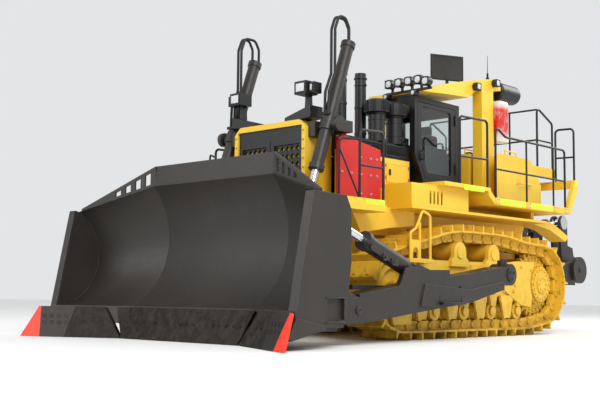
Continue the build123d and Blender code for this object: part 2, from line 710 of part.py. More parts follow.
def window_plate(y0, y1, mode=Mode.ADD):
    """Door window's outline with its rounded corners."""
    with BuildSketch(Plane.XZ.offset(-y1)) as outline:
        with BuildLine():
            Polyline(*DOOR_WINDOW, close=True)
        make_face()
        fillet(outline.vertices(), WINDOW_R)
    extrude(outline.sketch, amount=y1 - y0, mode=mode)


with BuildPart() as cab_shell:
    side_plate(CAB_OUTLINE, *CAB_Y)
    side_plate(CAB_HOLLOW, CAB_Y[0] + WALL_T, CAB_Y[1] - WALL_T, Mode.SUBTRACT)
    side_plate(DOOR_OUTLINE, *CAB_Y, Mode.SUBTRACT)
    slab(CAB_X[1] - WALL_T, CAB_X[1], *FRONT_WINDOW, Mode.SUBTRACT)
    slab(CAB_X[0], CAB_X[0] + WALL_T, *REAR_WINDOW, Mode.SUBTRACT)
    slab(CAB_X[0], SILL_X, *CAB_Y, DECK_TOP, CAB_FOOT)
    for wall, way in ((CAB_Y[1], 1), (CAB_Y[0], -1)):
        near, far = sorted((wall, wall + way * (HINGE_OUT + 10.0)))
        pin_y = wall + way * HINGE_OUT
        for z in KNUCKLE_Z:
            for z0 in (z - 42.0, z + KNUCKLE_H + 2.0):
                slab(DOOR_HINGE[0] - 50.0, DOOR_HINGE[0], near, far, z0, z0 + 40.0)
                bar((DOOR_HINGE[0], pin_y, z0), (DOOR_HINGE[0], pin_y, z0 + 40.0), KNUCKLE_R - 2.5)
            bar((DOOR_HINGE[0], pin_y, z - 42.0), (DOOR_HINGE[0], pin_y, z + KNUCKLE_H + 42.0), HINGE_PIN_R)
cab_shell.part.label = "cab_shell"
export_step(cab_shell.part, "parts/cab_shell.step")

with BuildPart() as cab_glass:
    slab(CAB_X[1] - 35.0, CAB_X[1] - 35.0 + GLASS_T, *FRONT_WINDOW)
    slab(CAB_X[0] + 25.0, CAB_X[0] + 25.0 + GLASS_T, *REAR_WINDOW)
cab_glass.part.label = "cab_glass"
export_step(cab_glass.part, "parts/cab_glass.step")


def cab_door(side):
    """Door as thick as the cab's wall, with its window cut."""
    with BuildSketch(Plane.XZ.offset(-CAB_Y[1])) as leaf:
        add(shrunk(DOOR_OUTLINE, DOOR_GAP))
    extrude(leaf.sketch, amount=WALL_T)
    window_plate(CAB_Y[1] - WALL_T, CAB_Y[1], Mode.SUBTRACT)
    for z in KNUCKLE_Z:
        bar((*DOOR_HINGE, z), (*DOOR_HINGE, z + KNUCKLE_H), KNUCKLE_R)
        bar((*DOOR_HINGE, z - 50.0), (*DOOR_HINGE, z + KNUCKLE_H + 50.0), HINGE_PIN_R + FIT, Mode.SUBTRACT)
    if side < 0:
        mirror(about=CAB_MIRROR, mode=Mode.REPLACE)


def door_pane(side):
    """Pane that fills a door's window."""
    window_plate(CAB_Y[1] - 30.0, CAB_Y[1] - 30.0 + GLASS_T)
    if side < 0:
        mirror(about=CAB_MIRROR, mode=Mode.REPLACE)


with BuildPart() as cab_door_left:
    cab_door(1)
cab_door_left.part.label = "cab_door_left"
export_step(cab_door_left.part, "parts/cab_door_left.step")

with BuildPart() as cab_door_right:
    cab_door(-1)
cab_door_right.part.label = "cab_door_right"
export_step(cab_door_right.part, "parts/cab_door_right.step")

with BuildPart() as door_glass_left:
    door_pane(1)
door_glass_left.part.label = "door_glass_left"
export_step(door_glass_left.part, "parts/door_glass_left.step")

with BuildPart() as door_glass_right:
    door_pane(-1)
door_glass_right.part.label = "door_glass_right"
export_step(door_glass_right.part, "parts/door_glass_right.step")

CAB_FLOOR = CAB_FOOT + 40.0
SEAT_X = D - 430.0
with BuildPart() as operator_seat:
    slab(SEAT_X - 200.0, SEAT_X + 200.0, CAB_MID - 180.0, CAB_MID + 180.0, CAB_FLOOR, CAB_FLOOR + 260.0)
    slab(SEAT_X - 270.0, SEAT_X + 260.0, CAB_MID - 250.0, CAB_MID + 250.0, CAB_FLOOR + 260.0, CAB_FLOOR + 400.0)
    slab(SEAT_X - 370.0, SEAT_X - 250.0, CAB_MID - 240.0, CAB_MID + 240.0, CAB_FLOOR + 300.0, CAB_FLOOR + 1000.0)
    fillet(operator_seat.edges().filter_by(Axis.Y).group_by(Axis.Z)[-1], 45.0)
operator_seat.part.label = "operator_seat"
export_step(operator_seat.part, "parts/operator_seat.step")

with BuildPart() as operator_console:
    for y0 in (CAB_MID + 300.0, CAB_MID - 470.0):
        slab(SEAT_X - 250.0, SEAT_X + 330.0, y0, y0 + 170.0, CAB_FLOOR, CAB_FLOOR + 560.0)
    slab(CAB_X[1] - 300.0, CAB_X[1] - WALL_T - 40.0, CAB_MID - 260.0, CAB_MID + 260.0, KNEE_Z + 10.0, KNEE_Z + 290.0)
    slab(CAB_X[1] - 330.0, CAB_X[1] - 260.0, CAB_MID - 150.0, CAB_MID + 150.0, CAB_FLOOR, KNEE_Z + 10.0)
operator_console.part.label = "operator_console"
export_step(operator_console.part, "parts/operator_console.step")

# ---------------------------------------------------------------- roll-over frame
POST_X = (D - 1650.0, D - 1300.0)
POST_Y = (880.0, 1060.0)
ROOF_Z = CAB_TOP + 40.0         # front edge of the canopy
ROOF_REAR = D - 1880.0
ROOF_FRONT = CAB_X[1]
ROOF = (
    (ROOF_FRONT, ROOF_Z),
    (ROOF_FRONT, ROOF_Z + 50.0),
    (D + 150.0, ROOF_Z + 90.0),
    (D - 530.0, ROOF_Z + 280.0),
    (D - 950.0, ROOF_Z + 380.0),
    (D - 1100.0, ROOF_Z + 360.0),
    (D - 1100.0, ROOF_Z + 220.0),
    (D - 900.0, ROOF_Z + 90.0),
    (D - 520.0, ROOF_Z + 70.0),
)
ROOF_BEAM = (
    (D - 950.0, ROOF_Z + 380.0),
    (ROOF_REAR + 20.0, ROOF_Z + 560.0),
    (ROOF_REAR, ROOF_Z + 530.0),
    (ROOF_REAR, ROOF_Z + 350.0),
    (D - 1150.0, ROOF_Z + 250.0),
    (D - 1000.0, ROOF_Z + 160.0),
)
with BuildPart() as rops_canopy:
    side_plate(ROOF, CAB_Y[0] - 50.0, POST_Y[1])
    flat_plate([(D + 400.0, 433.0), (D + 400.0, -400.0), (D - 702.0, -400.0)], ROOF_Z - 20.0, ROOF_Z + 500.0, Mode.SUBTRACT)
    side_plate(ROOF_BEAM, -POST_Y[1], POST_Y[1])
    for y0, y1 in (POST_Y, (-POST_Y[1], -POST_Y[0])):
        slab(*POST_X, y0, y1, REAR_DECK_TOP, ROOF_Z + 360.0)
rops_canopy.part.label = "rops_canopy"
export_step(rops_canopy.part, "parts/rops_canopy.step")

# ---------------------------------------------------------------- decks and tank
DECK_T = 60.0
TANK_X = (D - 3150.0, BASE_X[0])
LOUVRES = 4
BEAM_X = D - 3530.0             # rear end of the outer beams
LOFT_X = D - 3490.0             # rear end of the upper platform
LOFT_Y = 1200.0
LOFT_Z = (REAR_DECK_TOP + 550.0, REAR_DECK_TOP + 730.0)
TANK_SIDE_Y = 1300.0
TANK_SIDE = (
    (D - 1700.0, REAR_DECK_TOP),
    (D - 1700.0, REAR_DECK_TOP + 800.0),
    (D - 2410.0, REAR_DECK_TOP + 790.0),
    (D - 2770.0, REAR_DECK_TOP + 370.0),
    (D - 2760.0, REAR_DECK_TOP),
)


def tank_slope(z):
    """Station of the side tank's sloping rear face at a height."""
    (x0, z0), (x1, z1) = TANK_SIDE[2], TANK_SIDE[3]
    return x0 + (x1 - x0) * (z - z0) / (z1 - z0)


with BuildPart() as decks:
    slab(D - 700.0, D + 540.0, BODY_Y, DECK_Y, DECK_TOP - DECK_T, DECK_TOP)
    side_plate(
        [
            (D - 640.0, DECK_TOP),
            (D - 820.0, REAR_DECK_TOP),
            (TANK_X[0], REAR_DECK_TOP),
            (TANK_X[0], REAR_DECK_TOP - 110.0),
            (D - 820.0, REAR_DECK_TOP - 110.0),
            (D - 640.0, DECK_TOP - 120.0),
        ],
        BODY_Y,
        DECK_Y,
    )
    side_plate(
        [
            (TANK_X[0] + 60.0, REAR_DECK_TOP - 110.0),
            (TANK_X[0] + 60.0, REAR_DECK_TOP),
            (D - 3170.0, REAR_DECK_TOP),
            (D - 3420.0, REAR_DECK_TOP + 510.0),
            (BEAM_X, REAR_DECK_TOP + 510.0),
            (BEAM_X, REAR_DECK_TOP + 370.0),
            (D - 3250.0, REAR_DECK_TOP - 110.0),
        ],
        DECK_Y - 70.0,
        DECK_Y,
    )
    slab(BEAM_X, D - 3420.0, 0.0, DECK_Y - 30.0, REAR_DECK_TOP + 370.0, REAR_DECK_TOP + 510.0)
    side_plate(
        [(tank_slope(LOFT_Z[0]), LOFT_Z[0]), (tank_slope(LOFT_Z[1]), LOFT_Z[1]), (LOFT_X, LOFT_Z[1]), (LOFT_X, LOFT_Z[0])],
        LOFT_Y - 60.0,
        LOFT_Y,
    )
    slab(LOFT_X, D - 2870.0, 0.0, LOFT_Y - 30.0, LOFT_Z[1] - 40.0, LOFT_Z[1])
    mirror(about=Plane.XZ)
decks.part.label = "decks"
export_step(decks.part, "parts/decks.step")

with BuildPart() as fenders:
    slab(D - 2600.0, BOX_X[1] + 50.0, BODY_Y, FENDER_Y, FENDER_TOP - 40.0, FENDER_TOP)
    slab(*BOX_X, BODY_Y, FENDER_Y - 50.0, FENDER_TOP, DECK_TOP - DECK_T)
    for count in range(LOUVRES):
        x = D + 380.0 + count * 95.0
        slab(x, x + 45.0, FENDER_Y - 75.0, FENDER_Y - 50.0, FENDER_TOP + 60.0, FENDER_TOP + 250.0, Mode.SUBTRACT)
    side_plate(
        [
            (D - 2590.0, FENDER_TOP),
            (D - 2590.0, FENDER_TOP - 40.0),
            (D - 3150.0, FENDER_TOP - 110.0),
            (D - 3700.0, FENDER_TOP - 290.0),
            (D - 3810.0, FENDER_TOP - 200.0),
            (D - 3450.0, FENDER_TOP - 60.0),
            (D - 3170.0, FENDER_TOP + 30.0),
        ],
        BODY_Y + 150.0,
        FENDER_Y - 250.0,
    )
    slab(D - 2600.0, D - 2500.0, BODY_Y, FENDER_Y - 250.0, FENDER_TOP, REAR_DECK_TOP - 110.0)
    mirror(about=Plane.XZ)
fenders.part.label = "fenders"
export_step(fenders.part, "parts/fenders.step")

TANK_TOP = REAR_DECK_TOP + 820.0
with BuildPart() as fuel_tank:
    side_plate(
        [
            (TANK_X[1], BODY_FOOT),
            (TANK_X[1], DECK_TOP + 30.0),
            (D - 1300.0, DECK_TOP + 30.0),
            (D - 1300.0, TANK_TOP),
            (D - 2250.0, TANK_TOP),
            (TANK_X[0] + 200.0, TANK_TOP - 480.0),
            (TANK_X[0], TANK_TOP - 900.0),
            (D - 2900.0, BODY_FOOT),
        ],
        -BODY_Y,
        BODY_Y,
    )
    for y0, y1 in ((BODY_Y, TANK_SIDE_Y), (-TANK_SIDE_Y, -BODY_Y)):
        side_plate(TANK_SIDE, y0, y1)
    for y0 in (TANK_SIDE_Y - 30.0, -TANK_SIDE_Y):
        slab(TANK_SIDE[0][0] - 10.0, D - 1340.0, y0, y0 + 30.0, REAR_DECK_TOP, REAR_DECK_TOP + 800.0)
fuel_tank.part.label = "fuel_tank"
export_step(fuel_tank.part, "parts/fuel_tank.step")

RAIL_R = 19.0
RUNG_R = 16.0                   # rungs and middle rails
BRACE_R = 12.0
RAIL_TOP = DECK_TOP + 1030.0
REAR_RAIL = REAR_DECK_TOP + 1000.0
CAGE_Z = LOFT_Z[1] + 1060.0
with BuildPart() as handrails:
    rail_y = DECK_Y - 25.0
    tube([(D + 110.0, rail_y, DECK_TOP), (D + 110.0, rail_y, RAIL_TOP), (D - 645.0, rail_y, RAIL_TOP + 20.0),
          (D - 645.0, rail_y, DECK_TOP)], RAIL_R, 70.0)
    bar((D + 110.0, rail_y, DECK_TOP + 420.0), (D - 645.0, rail_y, DECK_TOP + 440.0), RUNG_R)
    tube([(D - 880.0, rail_y, REAR_DECK_TOP), (D - 880.0, rail_y, REAR_RAIL + 140.0), (D - 1180.0, rail_y, REAR_RAIL),
          (D - 3100.0, rail_y, REAR_RAIL), (D - 3100.0, rail_y, REAR_DECK_TOP)], RAIL_R, 70.0)
    bar((D - 880.0, rail_y, REAR_DECK_TOP + 460.0), (D - 3100.0, rail_y, REAR_DECK_TOP + 460.0), RUNG_R)
    for x in (D - 1820.0, D - 2700.0):
        bar((x, rail_y, REAR_DECK_TOP), (x, rail_y, REAR_RAIL), RUNG_R)
    corner_y = DECK_Y - 50.0
    corner_z = REAR_DECK_TOP + 510.0
    tube([(D - 3490.0, corner_y, corner_z), (D - 3490.0, corner_y, corner_z + 930.0), (D - 3440.0, corner_y - 330.0, corner_z + 930.0),
          (D - 3440.0, corner_y - 330.0, corner_z)], RAIL_R, 70.0)
    bar((D - 3490.0, corner_y, corner_z + 420.0), (D - 3440.0, corner_y - 330.0, corner_z + 420.0), RUNG_R)
    cage_y = LOFT_Y - 50.0
    tube([(D - 3450.0, cage_y, LOFT_Z[1]), (D - 3450.0, cage_y, CAGE_Z - 230.0), (D - 2920.0, cage_y, CAGE_Z),
          (D - 2920.0, cage_y, LOFT_Z[1])], RAIL_R, 70.0)
    bar((D - 3450.0, cage_y, LOFT_Z[1] + 480.0), (D - 2920.0, cage_y, LOFT_Z[1] + 480.0), RUNG_R)
    for y in (600.0, 0.0):
        bar((D - 2920.0, y, LOFT_Z[1]), (D - 2920.0, y, CAGE_Z - 40.0), RUNG_R)
    for z in (CAGE_Z - 40.0, LOFT_Z[1] + 480.0):
        bar((D - 2920.0, 0.0, z), (D - 2920.0, cage_y, z), RUNG_R)
    hoop_y = STEP_Y - 50.0
    tube([(D + 1800.0, hoop_y, STEP_Z[1]), (D + 1800.0, hoop_y, STEP_Z[1] + 1020.0), (D + 2310.0, hoop_y, STEP_Z[1] + 1000.0),
          (D + 2310.0, hoop_y, STEP_Z[1])], RAIL_R, 70.0)
    bar((D + 1800.0, hoop_y, STEP_Z[1] + 520.0), (D + 2310.0, hoop_y, STEP_Z[1] + 520.0), RUNG_R)
    tube([(D + 2310.0, hoop_y, STEP_Z[1] + 870.0), (D + 2560.0, hoop_y - 150.0, STEP_Z[1] + 870.0),
          (D + 2560.0, hoop_y - 150.0, STEP_Z[1])], RUNG_R, 60.0)
    bar((D + 2310.0, hoop_y, STEP_Z[1] + 60.0), (D + 2560.0, hoop_y - 150.0, STEP_Z[1] + 745.0), BRACE_R)
    mirror(about=Plane.XZ)
handrails.part.label = "handrails"
export_step(handrails.part, "parts/handrails.step")

# ---------------------------------------------------------------- top of the hood and the canopy
STACK_R = 87.0
STACK_Y = 350.0
STACK_X = (D + 980.0, D + 1440.0)
STACK_TOP = 4000.0
with BuildPart() as exhaust_stacks:
    for x in STACK_X:
        bar((x, STACK_Y, HOOD_TOP), (x, STACK_Y, STACK_TOP), STACK_R)
        bar((x, STACK_Y, HOOD_TOP), (x, STACK_Y, HOOD_TOP + 40.0), STACK_R + 40.0)
        bar((x, STACK_Y, STACK_TOP - 90.0), (x, STACK_Y, STACK_TOP - 70.0), STACK_R + 16.0)
        bar((x, STACK_Y, STACK_TOP - 160.0), (x, STACK_Y, STACK_TOP + 10.0), STACK_R - 10.0, Mode.SUBTRACT)
exhaust_stacks.part.label = "exhaust_stacks"
export_step(exhaust_stacks.part, "parts/exhaust_stacks.step")

CLEANER_Y = 660.0
# height over the hood, radius: profile of a pre-cleaner from its foot to its cap
CLEANER = ((0.0, 125.0), (400.0, 125.0), (430.0, 150.0), (440.0, 190.0), (615.0, 190.0), (645.0, 120.0), (650.0, 0.0))
CLEANER_X = (D + 970.0, D + 535.0)
with BuildPart() as precleaners:
    for x in CLEANER_X:
        with BuildSketch(Plane.XZ.offset(-CLEANER_Y)) as profile:
            with BuildLine():
                Polyline((x, HOOD_TOP), *[(x + radius, HOOD_TOP + z) for z, radius in CLEANER], close=True)
            make_face()
        revolve(profile.sketch, axis=Axis((x, CLEANER_Y, 0), (0, 0, 1)))
precleaners.part.label = "precleaners"
export_step(precleaners.part, "parts/precleaners.step")

LAMP_R = 72.0
LAMP_FACE = ROOF_FRONT + 140.0
BAR_Z = (ROOF_Z + 15.0, ROOF_Z + 50.0)
NOSE_LAMP_Y = 660.0
# places across the canopy's front edge, height over the lamp bar's middle
ROOF_LAMPS = ((490.0, 130.0), (680.0, 130.0), (870.0, 130.0), (1050.0, 130.0), (1190.0, 90.0), (430.0, -60.0), (960.0, -60.0))
with BuildPart() as lamps:
    for side in (1, -1):
        y = side * NOSE_LAMP_Y
        foot = [(side * (NOSE_LAMP_Y + out), shroud_top(NOSE_LAMP_Y + out)) for out in (-40.0, 40.0)]
        front_plate([*foot, (y + side * 30.0, 3390.0), (y - side * 30.0, 3390.0)], D + 2440.0, D + 2520.0)
        slab(D + 2420.0, D + 2660.0, y - 110.0, y + 110.0, 3390.0, 3570.0)
        near, far = sorted((y + side * 100.0, y + side * 205.0))
        slab(D + 2440.0, D + 2600.0, near, far, 3400.0, 3550.0)
    slab(ROOF_FRONT, ROOF_FRONT + 40.0, ROOF_LAMPS[5][0] - 60.0, ROOF_LAMPS[4][0] + 40.0, *BAR_Z)
    for y, up in ROOF_LAMPS:
        z = (BAR_Z[0] + BAR_Z[1]) / 2 + up
        bar((ROOF_FRONT + 30.0, y, z), (LAMP_FACE, y, z), LAMP_R if up > 0 else LAMP_R - 25.0)
        slab(ROOF_FRONT + 10.0, ROOF_FRONT + 40.0, y - 18.0, y + 18.0, *sorted((BAR_Z[0] + 15.0, z)))
    for wall, way in ((POST_Y[1], 1), (-POST_Y[1], -1)):
        for x, z in ((D - 1080.0, ROOF_Z + 290.0), (D - 1660.0, ROOF_Z + 440.0)):
            bar((x, wall, z), (x, wall + way * 90.0, z), LAMP_R - 10.0)
lamps.part.label = "lamps"
export_step(lamps.part, "parts/lamps.step")

BOARD_AT = (D - 1400.0, 300.0)
BOARD_Z = (4300.0, 4740.0)
BOARD_W = 624.0
BOARD_PLANE = Plane(origin=(*BOARD_AT, BOARD_Z[0]), x_dir=(-0.897, 0.442, 0), z_dir=(0, 0, 1))
ROOF_SLOPE = (ROOF_BEAM[1][1] - ROOF_BEAM[0][1]) / (ROOF_BEAM[1][0] - ROOF_BEAM[0][0])
BOARD_FOOT = ROOF_BEAM[0][1] + (BOARD_AT[0] - ROOF_BEAM[0][0]) * ROOF_SLOPE
with BuildPart() as number_board:
    with Locations(BOARD_PLANE):
        Box(BOARD_W, 30.0, BOARD_Z[1] - BOARD_Z[0], align=(Align.CENTER, Align.CENTER, Align.MIN))
    side_plate(
        [
            (BOARD_AT[0] - 30.0, BOARD_FOOT - 30.0 * ROOF_SLOPE),
            (BOARD_AT[0] + 30.0, BOARD_FOOT + 30.0 * ROOF_SLOPE),
            (BOARD_AT[0] + 30.0, BOARD_Z[0] + 100.0),
            (BOARD_AT[0] - 30.0, BOARD_Z[0] + 100.0),
        ],
        BOARD_AT[1] - 12.0,
        BOARD_AT[1] + 12.0,
    )
number_board.part.label = "number_board"
export_step(number_board.part, "parts/number_board.step")

UNIT_Y = 900.0
UNIT_Z = ROOF_Z + 380.0
UNIT_R = 165.0
with BuildPart() as pressure_unit:
    bar((D - 1950.0, UNIT_Y, UNIT_Z), (D - 2560.0, UNIT_Y, UNIT_Z), UNIT_R)
    fillet(pressure_unit.edges(), 50.0)
    slab(D - 1990.0, ROOF_REAR, UNIT_Y - 80.0, UNIT_Y + 80.0, ROOF_Z + 360.0, ROOF_Z + 500.0)
pressure_unit.part.label = "pressure_unit"
export_step(pressure_unit.part, "parts/pressure_unit.step")

BAG_X = (D - 1990.0, D - 1690.0)
BAG_Y = (960.0, 1180.0)
BAG_Z = (REAR_DECK_TOP + 1040.0, REAR_DECK_TOP + 1740.0)
with BuildPart() as extinguisher:
    slab(*BAG_X, *BAG_Y, *BAG_Z)
    fillet(extinguisher.edges().filter_by(Axis.Z), 90.0)
    fillet(extinguisher.edges().group_by(Axis.Z)[-1], 60.0)
    for z in (BAG_Z[0] + 120.0, BAG_Z[1] - 180.0):
        slab(BAG_X[1] - 60.0, POST_X[0], BAG_Y[0] + 40.0, POST_Y[1] - 20.0, z, z + 60.0)
extinguisher.part.label = "extinguisher"
export_step(extinguisher.part, "parts/extinguisher.step")

# ---------------------------------------------------------------- lift cylinders
YOKE_PIN_R = 50.0
BARREL_R = 90.0
BARREL_BORE = 76.0
LIFT_ROD_R = 55.0
GLAND = 90.0
LIFT_TOP = 1317.0               # barrel over its trunnion
LIFT_HEAD = 680.0               # barrel under its trunnion
LIFT_INSIDE = 2350.0            # rod's length from its inner end to its eye
PIN_R = 45.0
LIFT_DRIFT = 67.0               # room round a pin that the opened linkage can leave by
TILT_DRIFT = 24.0
RIP_DRIFT = 70.0
BOSS_WALL = 38.0                # metal round a hole with such room
CAP_LAP = 13.0                  # pin's cap past the hole

YOKE_FAR = LIFT_Y + 170.0       # outer wall of the yoke
with BuildPart() as lift_yokes:
    slab(LIFT_YOKE[0] - 130.0, LIFT_YOKE[0] + 130.0, NOSE_Y, LIFT_Y - 120.0, LIFT_YOKE[1] - 150.0, LIFT_YOKE[1] + 60.0)
    cross_bar(LIFT_YOKE, YOKE_FAR, YOKE_FAR + 70.0, 105.0)
    slab(LIFT_YOKE[0] - 260.0, LIFT_YOKE[0] - 170.0, NOSE_Y, YOKE_FAR + 70.0, LIFT_YOKE[1] - 100.0, LIFT_YOKE[1] + 60.0)
    slab(LIFT_YOKE[0] - 260.0, LIFT_YOKE[0], YOKE_FAR, YOKE_FAR + 70.0, LIFT_YOKE[1] - 100.0, LIFT_YOKE[1] + 60.0)
    slab(LIFT_YOKE[0] - 260.0, LIFT_YOKE[0], NOSE_Y, LIFT_Y - 120.0, LIFT_YOKE[1] - 100.0, LIFT_YOKE[1] + 60.0)
    cross_bar(LIFT_YOKE, BODY_Y, YOKE_FAR + 80.0, YOKE_PIN_R + FIT, Mode.SUBTRACT)
    mirror(about=Plane.XZ)
lift_yokes.part.label = "lift_yokes"
export_step(lift_yokes.part, "parts/lift_yokes.step")


def at_y(place, y):
    """Point of the (x, z) place at a station across the machine."""
    return (place[0], y, place[1])


def cylinder_barrel(pivot, aim, y, back, reach, radius, bore, rod_radius):
    """Hollow barrel from behind its pivot to its gland, with the rod's hole."""
    tail = toward(pivot, aim, -back)
    head = toward(pivot, aim, reach)
    throat = toward(pivot, aim, reach - GLAND)
    floor = toward(pivot, aim, -back + GLAND)
    bar(at_y(tail, y), at_y(head, y), radius)
    bar(at_y(toward(pivot, aim, reach - 70.0), y), at_y(head, y), radius + 18.0)
    bar(at_y(floor, y), at_y(throat, y), bore, Mode.SUBTRACT)
    bar(at_y(throat, y), at_y(toward(pivot, aim, reach + 5.0), y), rod_radius + FIT, Mode.SUBTRACT)


def cylinder_rod(pivot, aim, y, inside, radius, eye_r, ear_gap, ear_t, drift):
    """Rod with its eye and the pin that it carries between two ears."""
    span = hypot(aim[0] - pivot[0], aim[1] - pivot[1])
    start = toward(pivot, aim, span - inside)
    bar(at_y(start, y), at_y(aim, y), radius)
    half = ear_gap / 2 - SIDE_GAP
    cross_bar(aim, y - half, y + half, eye_r)
    out = ear_gap / 2 + ear_t + 2.0
    cross_bar(aim, y - out - 14.0, y + out + 14.0, PIN_R)
    for y0 in (y - out - 14.0, y + out):
        cross_bar(aim, y0, y0 + 14.0, PIN_R + drift + CAP_LAP)


with BuildPart() as lift_barrels:
    cylinder_barrel(LIFT_YOKE, LIFT_EYE, LIFT_Y, LIFT_TOP, LIFT_HEAD, BARREL_R, BARREL_BORE, LIFT_ROD_R)
    bar(at_y(toward(LIFT_YOKE, LIFT_EYE, -90.0), LIFT_Y), at_y(toward(LIFT_YOKE, LIFT_EYE, 90.0), LIFT_Y), 112.0)
    bar(at_y(toward(LIFT_YOKE, LIFT_EYE, -LIFT_TOP), LIFT_Y), at_y(toward(LIFT_YOKE, LIFT_EYE, 80.0 - LIFT_TOP), LIFT_Y), BARREL_R + 14.0)
    cross_bar(LIFT_YOKE, LIFT_Y - 140.0, YOKE_FAR + 70.0, YOKE_PIN_R)
    bar(at_y(toward(LIFT_YOKE, LIFT_EYE, -120.0), LIFT_Y), at_y(toward(LIFT_YOKE, LIFT_EYE, 120.0), LIFT_Y), BARREL_BORE, Mode.SUBTRACT)
    mirror(about=Plane.XZ)
lift_barrels.part.label = "lift_barrels"
export_step(lift_barrels.part, "parts/lift_barrels.step")

HOSE_R = 20.0
CAP_TOP = toward(LIFT_YOKE, LIFT_EYE, -LIFT_TOP)
CAP_LEAN = (LIFT_EYE[0] - LIFT_YOKE[0]) / (LIFT_YOKE[1] - LIFT_EYE[1])
with BuildPart() as lift_hoses:
    for y, start in ((LIFT_Y - 34.0, CAP_TOP[0] - 40.0), (LIFT_Y + 34.0, CAP_TOP[0] + 30.0)):
        foot = CAP_TOP[1] + (start - CAP_TOP[0]) * CAP_LEAN + HOSE_R * CAP_LEAN + 0.3
        tube([(start, y, foot), (start, y, 4400.0), (start + 80.0, y, 4530.0), (D + 2220.0, y, 4530.0), (D + 2300.0, y, 4330.0),
              (D + 2300.0, y, 3700.0), (D + 2420.0, y, 3420.0), (D + 2430.0, y, 3130.0)], HOSE_R, 90.0)
    slab(D + 2350.0, D + 2480.0, LIFT_Y - 70.0, LIFT_Y + 70.0, 3090.0, 3130.0)
    bar(at_y(LIFT_YOKE, LIFT_Y), at_y(CAP_TOP, LIFT_Y), BARREL_R, Mode.SUBTRACT)
    mirror(about=Plane.XZ)
lift_hoses.part.label = "lift_hoses"
export_step(lift_hoses.part, "parts/lift_hoses.step")

LIFT_EARS = (124.0, 46.0)       # gap between the ears, thickness of each
with BuildPart() as lift_rods:
    cylinder_rod(LIFT_YOKE, LIFT_EYE, LIFT_Y, LIFT_INSIDE, LIFT_ROD_R, 105.0, *LIFT_EARS, LIFT_DRIFT)
    mirror(about=Plane.XZ)
lift_rods.part.label = "lift_rods"
export_step(lift_rods.part, "parts/lift_rods.step")

# ---------------------------------------------------------------- push arms and tilt cylinders
ARM_PIN_R = 60.0
TILT_HEAD = 1107.0
TILT_BARREL_R = 112.0
TILT_BORE = 92.0
TILT_ROD_R = 58.0
TILT_INSIDE = 1000.0
TILT_EARS = (124.0, 46.0)
ARM_END = D - 380.0
with BuildPart() as push_arms:
    side_plate(
        [
            (D + 2960.0, 630.0),
            (D + 1240.0, 870.0),
            (D + 500.0, 940.0),
            (ARM_END, 1060.0),
            (ARM_END, 720.0),
            (D + 500.0, 530.0),
            (D + 1240.0, 450.0),
            (D + 2960.0, 260.0),
        ],
        *ARM_Y,
    )
    side_plate(
        [(D + 1600.0, 780.0), (D + 510.0, 710.0), (ARM_END, 840.0), (ARM_END, 720.0), (D + 500.0, 530.0), (D + 1240.0, 450.0), (D + 1700.0, 480.0)],
        ARM_Y[1],
        ARM_Y[1] + 22.0,
    )
    cross_bar(ARM_PIN, *ARM_Y, 175.0)
    slab(TRUNNION[0], ARM_END, *ARM_Y, 790.0, 1060.0)
    cross_bar(TRUNNION, *ARM_Y, 165.0)
    bar((TRUNNION[0], TILT_Y, TRUNNION[1] + 120.0), (TRUNNION[0], TILT_Y, TRUNNION[1] + 215.0), 75.0)
    cross_bar(TRUNNION, ARM_Y[0], ARM_Y[1] - 55.0, TRUNNION_R + FIT, Mode.SUBTRACT)
    cross_bar(ARM_PIN, *ARM_Y, ARM_PIN_R + FIT, Mode.SUBTRACT)
    slab(D + 2100.0, D + 2790.0, ARM_Y[0] - 20.0, ARM_Y[0] + 40.0, 690.0, 750.0)
    for y0 in (TILT_Y - TILT_EARS[0] / 2 - TILT_EARS[1], TILT_Y + TILT_EARS[0] / 2):
        side_plate(
            [
                (D + 1500.0, 830.0),
                (D + 1880.0, 780.0),
                (D + 1780.0, 960.0),
                (D + 1720.0, 1030.0),
                (D + 1640.0, 1030.0),
                (D + 1240.0, 930.0),
                (D + 1240.0, 860.0),
            ],
            y0,
            y0 + TILT_EARS[1],
        )
    side_plate(
        [
            (D + 2140.0, 735.0),
            (D + 2010.0, 980.0),
            (D + 1880.0, 1010.0),
            (D + 1750.0, 990.0),
            (D + 1470.0, 970.0),
            (D + 1000.0, 980.0),
            (D + 1000.0, 885.0),
        ],
        ARM_Y[1] - 30.0,
        ARM_Y[1],
    )
    cross_bar(TILT_FOOT, TILT_Y - 120.0, ARM_Y[1] - 10.0, PIN_R)
    mirror(about=Plane.XZ)
push_arms.part.label = "push_arms"
export_step(push_arms.part, "parts/push_arms.step")

with BuildPart() as tilt_barrels:
    cylinder_barrel(TILT_FOOT, TILT_EYE, TILT_Y, -180.0, TILT_HEAD, TILT_BARREL_R, TILT_BORE, TILT_ROD_R)
    foot_half = TILT_EARS[0] / 2 - SIDE_GAP
    link_plate(TILT_FOOT, 90.0, toward(TILT_FOOT, TILT_EYE, 190.0), 90.0, TILT_Y - foot_half, TILT_Y + foot_half)
    cross_bar(TILT_FOOT, TILT_Y - 80.0, TILT_Y + 80.0, PIN_R + FIT, Mode.SUBTRACT)
    mirror(about=Plane.XZ)
tilt_barrels.part.label = "tilt_barrels"
export_step(tilt_barrels.part, "parts/tilt_barrels.step")

